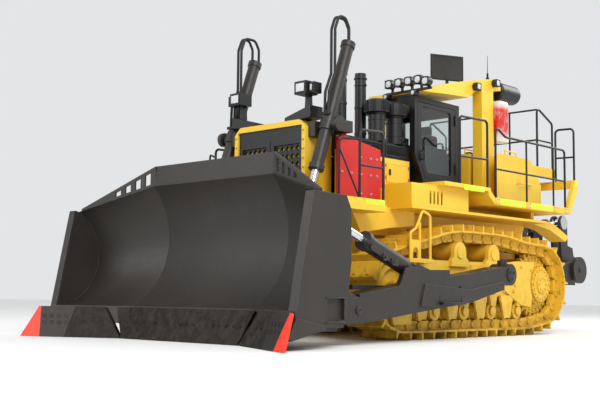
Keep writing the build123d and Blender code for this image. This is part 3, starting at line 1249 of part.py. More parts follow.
# distances along the tilt cylinder from its foot, drop under its axis
GUARD_RUN = (560.0, 1090.0)
GUARD_DROP = 95.0
with BuildPart() as tilt_guards:
    near = toward(TILT_FOOT, TILT_EYE, GUARD_RUN[0])
    far = toward(TILT_FOOT, TILT_EYE, GUARD_RUN[1])
    near, far = (near[0], near[1] - GUARD_DROP), (far[0], far[1] - GUARD_DROP)
    link_plate(near, 38.0, far, 38.0, TILT_Y + TILT_BARREL_R + 20.0, TILT_Y + TILT_BARREL_R + 45.0)
    for along in (GUARD_RUN[0] + 90.0, GUARD_RUN[1] - 180.0):
        foot = toward(TILT_FOOT, TILT_EYE, along)
        slab(foot[0] - 30.0, foot[0] + 30.0, TILT_Y + 60.0, TILT_Y + TILT_BARREL_R + 22.0, foot[1] - 130.0, foot[1] - 40.0)
        bar(at_y(toward(TILT_FOOT, TILT_EYE, along - 120.0), TILT_Y), at_y(toward(TILT_FOOT, TILT_EYE, along + 120.0), TILT_Y), TILT_BARREL_R, Mode.SUBTRACT)
    mirror(about=Plane.XZ)
tilt_guards.part.label = "tilt_guards"
export_step(tilt_guards.part, "parts/tilt_guards.step")

with BuildPart() as tilt_rods:
    cylinder_rod(TILT_FOOT, TILT_EYE, TILT_Y, TILT_INSIDE, TILT_ROD_R, 110.0, *TILT_EARS, TILT_DRIFT)
    mirror(about=Plane.XZ)
tilt_rods.part.label = "tilt_rods"
export_step(tilt_rods.part, "parts/tilt_rods.step")

# ---------------------------------------------------------------- blade
# bottom, foot of the curve, middle of the curve and top of the front face, then the back's corners
EDGE_PROFILE = ((4264.0, 0.0), (4080.0, 422.0), (4039.0, 404.0), (4215.0, 0.0))
EDGE_LEAN = (EDGE_PROFILE[2][0] - EDGE_PROFILE[3][0]) / EDGE_PROFILE[2][1]
RAKE_OUT = (WING_Y - KNEE_Y) * WING_RAKE


def behind_edge(z):
    """Station of the cutting edge's back face at a height, on the middle of the blade."""
    return D + EDGE_PROFILE[3][0] + EDGE_LEAN * z


KNEE_SECTION = (
    (behind_edge(200.0), 200.0),
    (behind_edge(436.0), 436.0),
    (D + 3430.0, 1200.0),
    (D + 3720.0, 2135.0),
    (D + 3620.0, 2135.0),
    (D + 3470.0, 1950.0),
    (D + 3340.0, 1500.0),
    (D + 3260.0, 1250.0),
    (D + 3390.0, 850.0),
    (D + 3400.0, 420.0),
    (D + 3560.0, 200.0),
)
WING_SECTION = (
    (behind_edge(200.0) + RAKE_OUT, 200.0),
    (behind_edge(436.0) + RAKE_OUT, 436.0),
    (D + 3790.0, 1200.0),
    (D + 4150.0, 1800.0),
    (D + 4050.0, 1800.0),
    (D + 3880.0, 1640.0),
    (D + 3740.0, 1400.0),
    (D + 3660.0, 1150.0),
    (D + 3645.0, 800.0),
    (D + 3665.0, 450.0),
    (D + 3800.0, 200.0),
)
PLATE_Y = WING_Y + 60.0         # outer face of the end plates
END_PLATE = (
    (D + 4565.0, 345.0),
    (D + 4280.0, 1800.0),
    (D + 3710.0, 1785.0),
    (D + 3620.0, 1620.0),
    (D + 3620.0, 1000.0),
    (D + 3680.0, 600.0),
    (D + 3760.0, 240.0),
    (D + 4080.0, 250.0),
    (D + 4540.0, 330.0),
)
BIT_GUSSET = (
    (D + 4560.0, 360.0),
    (D + 4070.0, 260.0),
    (D + 4080.0, 222.0),
    (D + 4650.0, 105.0),
    (D + 4700.0, 150.0),
)
# where a tilt cylinder's ears run into the wing's back: the inner ear, then the outer one
TILT_ROOTS = (
    ((D + 3640.0, TILT_EYE[1] + 40.0), (D + 3530.0, TILT_EYE[1] - 330.0)),
    ((D + 3725.0, TILT_EYE[1] + 40.0), (D + 3585.0, TILT_EYE[1] - 330.0)),
)
LIFT_ROOTS = (((D + 3430.0, 900.0), (D + 3430.0, 440.0)),) * 2
ARM_ROOT = ((D + 3620.0, 800.0), (D + 3620.0, 450.0), (D + 3760.0, 250.0))


def blade_face(section, y):
    """Face of a blade section: straight foot, curved front, folded back."""
    with BuildSketch(Plane.XZ.offset(-y)) as sketch:
        with BuildLine():
            Line(section[0], section[1])
            ThreePointArc(section[1], section[2], section[3])
            Polyline(*section[3:], section[0])
        make_face()
    return sketch.sketch


def blade_wing(side):
    """Wing between the knee and its end plate."""
    loft([blade_face(KNEE_SECTION, side * KNEE_Y), blade_face(WING_SECTION, side * WING_Y)], ruled=True)


def ears(place, y, gap, thick, boss, roots):
    """Two ears about a pin's place, each run into what carries it by its own root."""
    for y0, root in zip((y - gap / 2 - thick, y + gap / 2), roots):
        side_plate([(place[0], place[1] + boss), *root, (place[0], place[1] - boss)], y0, y0 + thick)
        cross_bar(place, y0, y0 + thick, boss)


def eye_hole(place, y, drift):
    """Hole through a pair of ears, wider than its pin by the linkage's drift."""
    cross_bar(place, y - 150.0, y + 150.0, PIN_R + drift, Mode.SUBTRACT)


ARM_LUG_Y = (160.0, 210.0)      # bracket beside a push arm, from the arm's middle
with BuildPart() as moldboard:
    extrude(blade_face(KNEE_SECTION, KNEE_Y), amount=2 * KNEE_Y)
    blade_wing(1)
    blade_wing(-1)
    for side in (1, -1):
        near, far = sorted((side * WING_Y, side * PLATE_Y))
        side_plate(END_PLATE, near, far)
        near, far = sorted((side * (PLATE_Y - 40.0), side * (PLATE_Y + 20.0)))
        side_plate(BIT_GUSSET, near, far)
        near, far = sorted((side * (WING_Y - 70.0), side * PLATE_Y))
        side_plate([(D + 4565.0, 345.0), (D + 4280.0, 1800.0), (D + 4235.0, 1800.0), (D + 4520.0, 345.0)], near, far)
        near, far = sorted((side * 2100.0, side * (PLATE_Y + 1.0)))
        slab(D + 3740.0, D + 4040.0, near, far, 310.0, 580.0, Mode.SUBTRACT)
        ears(LIFT_EYE, side * LIFT_Y, *LIFT_EARS, PIN_R + LIFT_DRIFT + BOSS_WALL, LIFT_ROOTS)
        ears(TILT_EYE, side * TILT_Y, *TILT_EARS, PIN_R + TILT_DRIFT + BOSS_WALL, TILT_ROOTS[::side])
        for y0 in (side * TILT_Y - ARM_LUG_Y[1], side * TILT_Y + ARM_LUG_Y[0]):
            side_plate([(ARM_PIN[0], 590.0), *ARM_ROOT, (ARM_PIN[0], 270.0)], y0, y0 + ARM_LUG_Y[1] - ARM_LUG_Y[0])
            cross_bar(ARM_PIN, y0, y0 + ARM_LUG_Y[1] - ARM_LUG_Y[0], 160.0)
        cross_bar(ARM_PIN, side * TILT_Y - ARM_LUG_Y[1], side * TILT_Y + ARM_LUG_Y[1], ARM_PIN_R)
        eye_hole(LIFT_EYE, side * LIFT_Y, LIFT_DRIFT)
        eye_hole(TILT_EYE, side * TILT_Y, TILT_DRIFT)
moldboard.part.label = "moldboard"
export_step(moldboard.part, "parts/moldboard.step")


def edge_face(side, y):
    """Section of the cutting edge at a station across the blade."""
    rake = max(0.0, abs(y) - KNEE_Y) * WING_RAKE
    with BuildSketch(Plane.XZ.offset(-side * abs(y))) as sketch:
        with BuildLine():
            Polyline(*[(D + x + rake, z) for x, z in EDGE_PROFILE], close=True)
        make_face()
    return sketch.sketch


BIT_Y = 1950.0
EDGE_TOP = 430.0
# across the machine, height: slot between the middle edge and a wing's edge
EDGE_SLOT = ((1150.0, -5.0), (1162.0, -5.0), (1545.0, EDGE_TOP), (1372.0, EDGE_TOP))
with BuildPart() as cutting_edges:
    extrude(edge_face(1, KNEE_Y), amount=2 * KNEE_Y)
    for side in (1, -1):
        loft([edge_face(side, KNEE_Y), edge_face(side, BIT_Y - 6.0)], ruled=True)
    for side in (1, -1):
        front_plate([(side * y, z) for y, z in EDGE_SLOT], D + 3900.0, D + 4600.0, Mode.SUBTRACT)
cutting_edges.part.label = "cutting_edges"
export_step(cutting_edges.part, "parts/cutting_edges.step")

BIT_LEAN = 100.0                # outer end of a bit leans in by this at its top
with BuildPart() as end_bits:
    for side in (1, -1):
        loft([edge_face(side, BIT_Y), edge_face(side, TIP_Y)], ruled=True)
        corner = [(TIP_Y, -5.0), (TIP_Y + 20.0, -5.0), (TIP_Y + 20.0, EDGE_TOP), (TIP_Y - BIT_LEAN, EDGE_TOP)]
        front_plate([(side * y, z) for y, z in corner], D + 4300.0, D + 5100.0, Mode.SUBTRACT)
end_bits.part.label = "end_bits"
export_step(end_bits.part, "parts/end_bits.step")

GUARD_TOP = 2420.0
GUARD_AT = (D + 3675.0, KNEE_SECTION[3][1])    # middle of the blade's top at the knee
GUARD_END = (D + 4100.0, WING_SECTION[3][1])   # and at the end plate
GUARD_LONG = hypot(GUARD_END[0] - GUARD_AT[0], WING_Y - KNEE_Y)
SLATS = 4


def guard_edge(along):
    """Height of a wing's top edge and of its guard's top at a distance from the knee."""
    share = along / GUARD_LONG
    low = GUARD_AT[1] + (GUARD_END[1] - GUARD_AT[1]) * share
    return low, GUARD_TOP + (GUARD_END[1] + 40.0 - GUARD_TOP) * share


def wing_guard():
    """Slatted guard on the left wing's top edge."""
    heading = Vector(GUARD_END[0] - GUARD_AT[0], WING_Y - KNEE_Y, 0)
    across = Vector(heading.Y, -heading.X, 0)
    with BuildSketch(Plane(origin=(GUARD_AT[0], KNEE_Y, 0), x_dir=heading, z_dir=across)) as outline:
        with BuildLine():
            Polyline((0, GUARD_AT[1] + 2.3), (GUARD_LONG, GUARD_END[1] + 2.3), (GUARD_LONG, GUARD_END[1] + 40.0), (0, GUARD_TOP), close=True)
        make_face()
        for slat in range(SLATS):
            start = 80.0 + slat * 165.0
            low0, top0 = guard_edge(start)
            low1, top1 = guard_edge(start + 95.0)
            with BuildLine():
                Polyline((start, low0 + 45.0), (start + 95.0, low1 + 45.0), (start + 95.0, top1 - 45.0), (start, top0 - 45.0), close=True)
            make_face(mode=Mode.SUBTRACT)
    extrude(outline.sketch, amount=20.0, both=True)


with BuildPart() as spill_guard:
    wing_guard()
    mirror(about=Plane.XZ)
    side_plate([(D + 3650.0, 2135.0), (D + 3700.0, 2135.0), (D + 3675.0, GUARD_TOP), (D + 3640.0, GUARD_TOP)], -KNEE_Y, KNEE_Y)
spill_guard.part.label = "spill_guard"
export_step(spill_guard.part, "parts/spill_guard.step")

# ---------------------------------------------------------------- ripper
RIPPER_PIN_R = 70.0
RIP_EARS = (124.0, 46.0)
RIP_BOSS = PIN_R + RIP_DRIFT + 25.0
LUG_HALF = 140.0                # half width of a ripper arm's clevis
CLEVIS_T = 50.0
with BuildPart() as ripper_mount:
    slab(D - 3250.0, HULL_X[0], -HULL_Y - 100.0, HULL_Y + 100.0, 760.0, 1500.0)
    for y in (-RIP_TILT_Y, -RIP_LIFT_Y, RIP_LIFT_Y, RIP_TILT_Y):
        top = RIP_LIFT_TOP if abs(y) == RIP_LIFT_Y else RIP_TILT_TOP
        for y0 in (y - 90.0, y + 50.0):
            side_plate(
                [(D - 3160.0, 1500.0), (D - 3160.0, top[1] + 60.0), (top[0], top[1] + 90.0), (top[0] - 85.0, top[1]), (D - 3250.0, 1300.0)],
                y0,
                y0 + 40.0,
            )
        cross_bar(top, y - 90.0, y + 90.0, PIN_R)
    for middle in (RIPPER_MID_Y, -RIPPER_MID_Y):
        for y0 in (middle - LUG_HALF, middle + LUG_HALF - CLEVIS_T):
            side_plate(
                [(D - 3060.0, 760.0), (D - 3060.0, 1200.0), (RIPPER_FOOT[0], 1110.0), (RIPPER_FOOT[0] - 120.0, 950.0), (RIPPER_FOOT[0], 790.0)],
                y0,
                y0 + CLEVIS_T,
            )
        cross_bar(RIPPER_FOOT, middle - LUG_HALF, middle + LUG_HALF, RIPPER_PIN_R)
        slab(D - 3250.0, D - 3060.0, middle - LUG_HALF, middle + LUG_HALF, 760.0, 1200.0)
ripper_mount.part.label = "ripper_mount"
export_step(ripper_mount.part, "parts/ripper_mount.step")

with BuildPart() as ripper_arm:
    for side in (1, -1):
        near, far = sorted((side * RIPPER_ARM_Y[0], side * RIPPER_ARM_Y[1]))
        link_plate(RIPPER_FOOT, 130.0, RIPPER_END, 180.0, near, far)
    cross_bar((D - 4140.0, 1040.0), 50.0 - RIPPER_MID_Y, RIPPER_MID_Y - 50.0, 85.0)
    for y in (-RIP_LIFT_Y, RIP_LIFT_Y):
        ears(RIP_LIFT_EYE, y, *RIP_EARS, RIP_BOSS, [((D - 4150.0, 1110.0), (D - 4180.0, 985.0))] * 2)
        eye_hole(RIP_LIFT_EYE, y, RIP_DRIFT)
    for side in (1, -1):
        near, far = sorted((side * (RIPPER_ARM_Y[0] - 20.0), side * (RIPPER_ARM_Y[1] + 20.0)))
        cross_bar(RIPPER_FOOT, near, far, RIPPER_PIN_R + FIT, Mode.SUBTRACT)
        cross_bar(RIPPER_END, near, far, RIPPER_PIN_R + FIT, Mode.SUBTRACT)
ripper_arm.part.label = "ripper_arm"
export_step(ripper_arm.part, "parts/ripper_arm.step")

BEAM_HALF = RIPPER_ARM_Y[0] - 20.0   # half width of the ripper's beam
with BuildPart() as ripper_pins:
    cross_bar(RIPPER_END, BEAM_HALF - 200.0, RIPPER_ARM_Y[1] + 10.0, RIPPER_PIN_R)
    cross_bar(RIPPER_END, RIPPER_ARM_Y[1] + 4.0, RIPPER_ARM_Y[1] + 70.0, 250.0)
    mirror(about=Plane.XZ)
ripper_pins.part.label = "ripper_pins"
export_step(ripper_pins.part, "parts/ripper_pins.step")

HORN_Y = (62.0, 108.0)          # plates of a horn, from the tilt cylinder's middle
BEAM_FACE = D - 4560.0
BEAM_TOP = 1400.0
BEAM_BEVEL = (50.0, 150.0)      # room for the lift cylinders' eyes with the ripper down
with BuildPart() as ripper_beam:
    side_plate(
        [
            (BEAM_FACE, 850.0),
            (BEAM_FACE, BEAM_TOP - BEAM_BEVEL[1]),
            (BEAM_FACE - BEAM_BEVEL[0], BEAM_TOP),
            (D - 5080.0, BEAM_TOP),
            (D - 5080.0, 850.0),
        ],
        -BEAM_HALF,
        BEAM_HALF,
    )
    for side in (1, -1):
        for y0 in (side * RIP_TILT_Y - HORN_Y[1], side * RIP_TILT_Y + HORN_Y[0]):
            side_plate(
                [
                    (BEAM_FACE - BEAM_BEVEL[0], BEAM_TOP),
                    (RIP_TILT_EYE[0] + RIP_BOSS, RIP_TILT_EYE[1]),
                    (RIP_TILT_EYE[0] - RIP_BOSS, RIP_TILT_EYE[1]),
                    (D - 4850.0, 1600.0),
                    (D - 5040.0, 1560.0),
                    (D - 5080.0, BEAM_TOP),
                ],
                y0,
                y0 + RIP_EARS[1],
            )
            cross_bar(RIP_TILT_EYE, y0, y0 + RIP_EARS[1], RIP_BOSS)
        near, far = sorted((side * (BEAM_HALF - 210.0), side * (BEAM_HALF + 20.0)))
        cross_bar(RIPPER_END, near, far, RIPPER_PIN_R + FIT, Mode.SUBTRACT)
        eye_hole(RIP_TILT_EYE, side * RIP_TILT_Y, RIP_DRIFT)
    slab(D - 5000.0, D - 4640.0, -60.0, 60.0, 800.0, 1450.0, Mode.SUBTRACT)
ripper_beam.part.label = "ripper_beam"
export_step(ripper_beam.part, "parts/ripper_beam.step")

with BuildPart() as ripper_shank:
    side_plate(
        [
            (D - 4640.0, 2050.0),
            (D - 5000.0, 2050.0),
            (D - 5000.0, 700.0),
            (D - 4900.0, 420.0),
            (D - 4480.0, 240.0),
            (D - 4460.0, 320.0),
            (D - 4640.0, 620.0),
        ],
        -60.0,
        60.0,
    )
ripper_shank.part.label = "ripper_shank"
export_step(ripper_shank.part, "parts/ripper_shank.step")


def rear_barrel(top, eye, y, reach):
    """Ripper cylinder's barrel, hung from the pin on the mount."""
    cylinder_barrel(top, eye, y, -200.0, reach, 92.0, 74.0, 50.0)
    link_plate(top, 85.0, toward(top, eye, 215.0), 85.0, y - 44.0, y + 44.0)
    cross_bar(top, y - 60.0, y + 60.0, PIN_R + FIT, Mode.SUBTRACT)


with BuildPart() as ripper_lift_barrels:
    rear_barrel(RIP_LIFT_TOP, RIP_LIFT_EYE, RIP_LIFT_Y, 1020.0)
    mirror(about=Plane.XZ)
ripper_lift_barrels.part.label = "ripper_lift_barrels"
export_step(ripper_lift_barrels.part, "parts/ripper_lift_barrels.step")

with BuildPart() as ripper_lift_rods:
    cylinder_rod(RIP_LIFT_TOP, RIP_LIFT_EYE, RIP_LIFT_Y, 905.0, 50.0, 85.0, *RIP_EARS, RIP_DRIFT)
    mirror(about=Plane.XZ)
ripper_lift_rods.part.label = "ripper_lift_rods"
export_step(ripper_lift_rods.part, "parts/ripper_lift_rods.step")

with BuildPart() as ripper_tilt_barrels:
    rear_barrel(RIP_TILT_TOP, RIP_TILT_EYE, RIP_TILT_Y, 900.0)
    mirror(about=Plane.XZ)
ripper_tilt_barrels.part.label = "ripper_tilt_barrels"
export_step(ripper_tilt_barrels.part, "parts/ripper_tilt_barrels.step")

with BuildPart() as ripper_tilt_rods:
    cylinder_rod(RIP_TILT_TOP, RIP_TILT_EYE, RIP_TILT_Y, 900.0, 50.0, 85.0, *RIP_EARS, RIP_DRIFT)
    mirror(about=Plane.XZ)
ripper_tilt_rods.part.label = "ripper_tilt_rods"
export_step(ripper_tilt_rods.part, "parts/ripper_tilt_rods.step")
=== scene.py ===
"""Finishes and small fittings of a crawler bulldozer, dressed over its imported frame.

Lengths are metres in the frame's own axes: +X is forward, +Y is the machine's left and
+Z is up. Sizes that wear, weave or grain follow are given in millimetres.
"""

import json
import logging
from dataclasses import dataclass
from enum import Enum
from math import atan2, cos, hypot, pi, radians, sin
from typing import Callable, Sequence

import bpy
from mathutils import Matrix, Vector

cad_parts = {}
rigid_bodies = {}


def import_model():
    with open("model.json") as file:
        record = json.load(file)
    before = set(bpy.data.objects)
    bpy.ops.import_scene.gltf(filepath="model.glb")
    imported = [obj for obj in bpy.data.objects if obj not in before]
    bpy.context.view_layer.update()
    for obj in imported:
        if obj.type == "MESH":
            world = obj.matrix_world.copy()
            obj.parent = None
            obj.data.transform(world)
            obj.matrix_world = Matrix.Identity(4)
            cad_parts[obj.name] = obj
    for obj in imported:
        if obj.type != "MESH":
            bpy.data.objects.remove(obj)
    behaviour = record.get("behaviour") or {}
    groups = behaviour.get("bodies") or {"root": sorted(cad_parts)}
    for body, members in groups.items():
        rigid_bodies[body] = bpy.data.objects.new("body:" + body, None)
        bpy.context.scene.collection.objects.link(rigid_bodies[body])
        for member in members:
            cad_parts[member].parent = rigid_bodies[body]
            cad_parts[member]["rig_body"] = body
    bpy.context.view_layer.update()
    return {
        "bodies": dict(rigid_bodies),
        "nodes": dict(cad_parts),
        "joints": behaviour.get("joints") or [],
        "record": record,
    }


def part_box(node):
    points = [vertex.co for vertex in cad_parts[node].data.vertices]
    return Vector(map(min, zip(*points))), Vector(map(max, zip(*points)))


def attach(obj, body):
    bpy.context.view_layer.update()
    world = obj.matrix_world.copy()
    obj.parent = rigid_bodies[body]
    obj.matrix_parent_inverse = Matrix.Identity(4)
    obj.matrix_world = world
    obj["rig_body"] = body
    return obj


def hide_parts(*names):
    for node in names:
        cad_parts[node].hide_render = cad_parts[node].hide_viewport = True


LOG = logging.getLogger("dozer")
MM = 0.001
UP = Vector((0.0, 0.0, 1.0))
LEFT = Vector((0.0, 1.0, 0.0))
FORWARD = Vector((1.0, 0.0, 0.0))
FAR_OUT = 3.0                   # where lines that look for a surface start, to the machine's side
FAR_OFF = 6.0                   # the same, above it and ahead of it
FaceTest = Callable[[Vector, Vector], bool]
Point = Sequence[float]
Socket = bpy.types.NodeSocket


# ---------------------------------------------------------------- shader helpers
def linear(code: str) -> tuple[float, float, float, float]:
    """Turns an sRGB hex code into the linear colour that a shader works in.

    Args:
        code: Six hex digits, red first.

    Returns:
        Red, green, blue and a full alpha.
    """
    channels = []
    for at in (0, 2, 4):
        value = int(code[at:at + 2], 16) / 255.0
        channels.append(value / 12.92 if value <= 0.04045 else ((value + 0.055) / 1.055) ** 2.4)
    return (*channels, 1.0)


def add(tree: bpy.types.NodeTree, kind: str, links: dict | None = None, **settings: object) -> bpy.types.Node:
    """Adds one shader node with its settings, its values and its links.

    Args:
        tree: Tree that gets the node.
        kind: The node's type without its ShaderNode prefix.
        links: An output socket or a plain value for each input, by name or number.
        settings: Properties of the node.

    Returns:
        The new node.
    """
    node = tree.nodes.new("ShaderNode" + kind)
    for key, value in settings.items():
        setattr(node, key, value)
    for key, value in (links or {}).items():
        if isinstance(value, Socket):
            tree.links.new(value, node.inputs[key])
        else:
            node.inputs[key].default_value = value
    return node


def blank(name: str, **uniform: object) -> tuple[bpy.types.Material, bpy.types.Node]:
    """Makes a node material whose shader has its uniform values set on its own sockets.

    Args:
        name: The material's name.
        uniform: Values by socket, with underscores for spaces.

    Returns:
        The material and its Principled shader.
    """
    material = bpy.data.materials.new(name)
    material.use_nodes = True
    shader = next(node for node in material.node_tree.nodes if node.type == "BSDF_PRINCIPLED")
    for key, value in uniform.items():
        shader.inputs[key.replace("_", " ")].default_value = value
    return material, shader


class Weather:
    """Masks that dirt, dust and rubbing draw from a surface's place, one set for each material."""

    def __init__(self, tree: bpy.types.NodeTree) -> None:
        """Starts the masks on a material's tree.

        Args:
            tree: The material's tree.
        """
        self.tree = tree
        self.place = add(tree, "TexCoord").outputs["Object"]
        self.normal = add(tree, "NewGeometry").outputs["Normal"]

    def cloud(self, size: float, detail: float = 5.0, rough: float = 0.6, stretch: Point = (1.0, 1.0, 1.0)) -> Socket:
        """Draws a cloudy pattern.

        Args:
            size: Size of its patches in metres.
            detail: How many finer layers it has.
            rough: Strength of the finer layers.
            stretch: How much longer than its size a patch is along each axis.

        Returns:
            A value about 0.5 all over the surface.
        """
        scale = tuple(1.0 / (size * long) for long in stretch)
        mapped = add(self.tree, "Mapping", {"Vector": self.place, "Scale": scale}).outputs["Vector"]
        noise = add(self.tree, "TexNoise", {"Vector": mapped, "Scale": 1.0, "Detail": detail, "Roughness": rough})
        return noise.outputs["Fac"]

    def span(self, value: Socket, low: float, high: float, to_low: float = 0.0, to_high: float = 1.0) -> Socket:
        """Stretches a value between two levels.

        Args:
            value: What is stretched.
            low: Level that becomes to_low.
            high: Level that becomes to_high.
            to_low: Result at and before low.
            to_high: Result at and past high.

        Returns:
            The stretched value, held inside its ends.
        """
        ranges = {"Value": value, "From Min": low, "From Max": high, "To Min": to_low, "To Max": to_high}
        return add(self.tree, "MapRange", ranges).outputs["Result"]

    def work(self, operation: str, a: object, b: object) -> Socket:
        """Joins two values by one sum, held between nought and one."""
        return add(self.tree, "Math", {0: a, 1: b}, operation=operation, use_clamp=True).outputs[0]

    def tint(self, factor: object, under: object, over: object) -> Socket:
        """Lays one colour over another by a factor."""
        return add(self.tree, "Mix", {0: factor, 6: under, 7: over}, data_type="RGBA").outputs[2]

    def splash(self, top: float, patch: Socket) -> Socket:
        """Mud thrown up from the ground, thinning out towards a height; on the undercarriage its dark soil is partly
        painted shade.

        Args:
            top: Height at which the last of it ends.
            patch: Cloud that breaks it up.

        Returns:
            The mask.
        """
        high = add(self.tree, "SeparateXYZ", {"Vector": self.place}).outputs["Z"]
        return self.work("MULTIPLY", self.span(high, top, 0.0), self.span(patch, 0.38, 0.72))

    def settled(self, patch: Socket) -> Socket:
        """Dust that lies on what faces up, broken by a cloud."""
        facing = add(self.tree, "SeparateXYZ", {"Vector": self.normal}).outputs["Z"]
        return self.work("MULTIPLY", self.span(facing, 0.6, 1.0), self.span(patch, 0.35, 0.8))

    def rounded(self, radius: float) -> Socket:
        """Normal of the surface with its edges eased by a radius."""
        return add(self.tree, "Bevel", {"Radius": radius}, samples=4).outputs["Normal"]

    def rubbed(self, rounded: Socket, patch: Socket) -> Socket:
        """Edges from which the coat is rubbed away.

        Args:
            rounded: Normal of the eased surface.
            patch: Cloud that breaks the rubbing up.

        Returns:
            The mask.
        """
        turn = add(self.tree, "VectorMath", {0: rounded, 1: self.normal}, operation="DOT_PRODUCT").outputs["Value"]
        return self.work("MULTIPLY", self.span(turn, 0.985, 0.86), self.span(patch, 0.42, 0.6))

    def bump(self, height: Socket, depth: float, under: object = None, strength: float = 1.0) -> Socket:
        """Turns a height into a normal.

        Args:
            height: Value that stands for the height.
            depth: How far a full step of it stands out, in metres.
            under: Normal that it starts from.
            strength: How much of it shows.

        Returns:
            The normal.
        """
        links = {"Height": height, "Distance": depth, "Strength": strength}
        if under is not None:
            links["Normal"] = under
        return add(self.tree, "Bump", links).outputs["Normal"]


# ---------------------------------------------------------------- finishes
@dataclass(frozen=True)
class Enamel:
    """Sprayed machine enamel on steel plate: a soft gloss, with orange peel, faded patches, dust and rubbed edges."""

    name: str
    fresh: str
    faded: str
    # colour of the soil; the undercarriage's is dark and stands partly for painted shade
    soil: str = "8A7352"
    bare: str = "57524C"
    splash_top: float = 1.3
    soiling: float = 0.55
    dusting: float = 0.3
    wear: float = 0.75
    roughness: float = 0.36
    peel_mm: float = 9.0            # real orange peel is finer; this is as coarse as it has to be to show
    clod: float = 0.07              # size of the patches of mud, in metres; on the undercarriage they are partly painted shade

    def build(self) -> bpy.types.Material:
        """Makes the material.

        Returns:
            The material.
        """
        material, shader = blank(self.name)
        tree = material.node_tree
        weather = Weather(tree)
        broad = weather.cloud(0.9)
        fine = weather.cloud(0.07, detail=7.0, rough=0.7)
        runs = weather.cloud(0.05, detail=4.0, stretch=(1.0, 1.0, 9.0))
        colour = weather.tint(weather.span(broad, 0.3, 0.75), linear(self.fresh), linear(self.faded))
        streak = weather.work("MULTIPLY", weather.span(runs, 0.55, 0.8), 0.22 * self.soiling)
        colour = weather.tint(streak, colour, linear(self.soil))
        rounded = weather.rounded(7.0 * MM)
        rubbed = weather.work("MULTIPLY", weather.rubbed(rounded, fine), self.wear)
        colour = weather.tint(rubbed, colour, linear(self.bare))
        clods = weather.cloud(self.clod, detail=7.0, rough=0.72)
        # Mud low down in the soil colour; on the undercarriage this dark soil is partly painted shade that darkens it
        # towards the bottom.
        mud_and_shade = weather.work("MULTIPLY", weather.splash(self.splash_top, clods), self.soiling)
        dust = weather.work("MULTIPLY", weather.settled(broad), self.dusting)
        dirt_and_shade = weather.work("MAXIMUM", mud_and_shade, dust)
        tree.links.new(weather.tint(dirt_and_shade, colour, linear(self.soil)), shader.inputs["Base Color"])
        matt = weather.work("ADD", weather.span(fine, 0.3, 0.8, self.roughness, self.roughness + 0.14),
                            weather.work("MULTIPLY", dirt_and_shade, 0.45))
        tree.links.new(matt, shader.inputs["Roughness"])
        tree.links.new(weather.work("MULTIPLY", rubbed, 0.7), shader.inputs["Metallic"])
        peel = weather.cloud(self.peel_mm * MM, detail=2.0)
        tree.links.new(weather.bump(peel, 0.5 * MM, rounded, 0.35), shader.inputs["Normal"])
        return material


@dataclass(frozen=True)
class PitShoe:
    """Crawler steel painted over, worn to brown steel at its grousers and rails and packed with dry clay."""

    name: str
    paint: str
    clay: str
    steel: str
    edge_mm: float = 9.0

    def build(self) -> bpy.types.Material:
        """Makes the material.

        Returns:
            The material.
        """
        material, shader = blank(self.name)
        tree = material.node_tree
        weather = Weather(tree)
        patch = weather.cloud(0.11, detail=8.0, rough=0.72)
        fine = weather.cloud(0.018, detail=4.0)
        colour = weather.tint(weather.span(patch, 0.56, 0.72), linear(self.paint), linear(self.clay))
        rounded = weather.rounded(self.edge_mm * MM)
        rubbed = weather.rubbed(rounded, patch)
        ground = weather.splash(0.42, weather.cloud(0.2))
        worn = weather.work("MAXIMUM", weather.work("MULTIPLY", rubbed, 0.85), ground)
        colour = weather.tint(worn, colour, linear(self.steel))
        grain = weather.tint(weather.span(fine, 0.35, 0.7, 0.0, 0.18), colour, linear(self.clay))
        tree.links.new(grain, shader.inputs["Base Color"])
        tree.links.new(weather.span(patch, 0.35, 0.65, 0.42, 0.8), shader.inputs["Roughness"])
        tree.links.new(weather.work("MULTIPLY", worn, 0.4), shader.inputs["Metallic"])
        tree.links.new(weather.bump(patch, 4.0 * MM, rounded, 0.5), shader.inputs["Normal"])
        return material


@dataclass(frozen=True)
class Metal:
    """Bare metal, ground, rolled or plated: a metal gloss with scratches and, where it is bare steel, brown bloom."""

    name: str
    clean: str
    bloom: str
    blooming: float
    roughness: float
    scratch_mm: float = 6.0
    grain: Point = (1.0, 1.0, 6.0)  # the way the scratches run

    def build(self) -> bpy.types.Material:
        """Makes the material.

        Returns:
            The material.
        """
        material, shader = blank(self.name)
        tree = material.node_tree
        weather = Weather(tree)
        patch = weather.cloud(0.12, detail=7.0, rough=0.7)
        scratch = weather.cloud(self.scratch_mm * MM, detail=3.0, stretch=self.grain)
        bloom = weather.work("MULTIPLY", weather.span(patch, 0.42, 0.7), self.blooming)
        tree.links.new(weather.tint(bloom, linear(self.clean), linear(self.bloom)), shader.inputs["Base Color"])
        tree.links.new(weather.work("SUBTRACT", 1.0, bloom), shader.inputs["Metallic"])
        matt = weather.work("ADD", weather.span(scratch, 0.3, 0.75, self.roughness, self.roughness + 0.12),
                            weather.work("MULTIPLY", bloom, 0.4))
        tree.links.new(matt, shader.inputs["Roughness"])
        tree.links.new(weather.bump(scratch, 0.3 * MM, weather.rounded(3.0 * MM), 0.3), shader.inputs["Normal"])
        return material


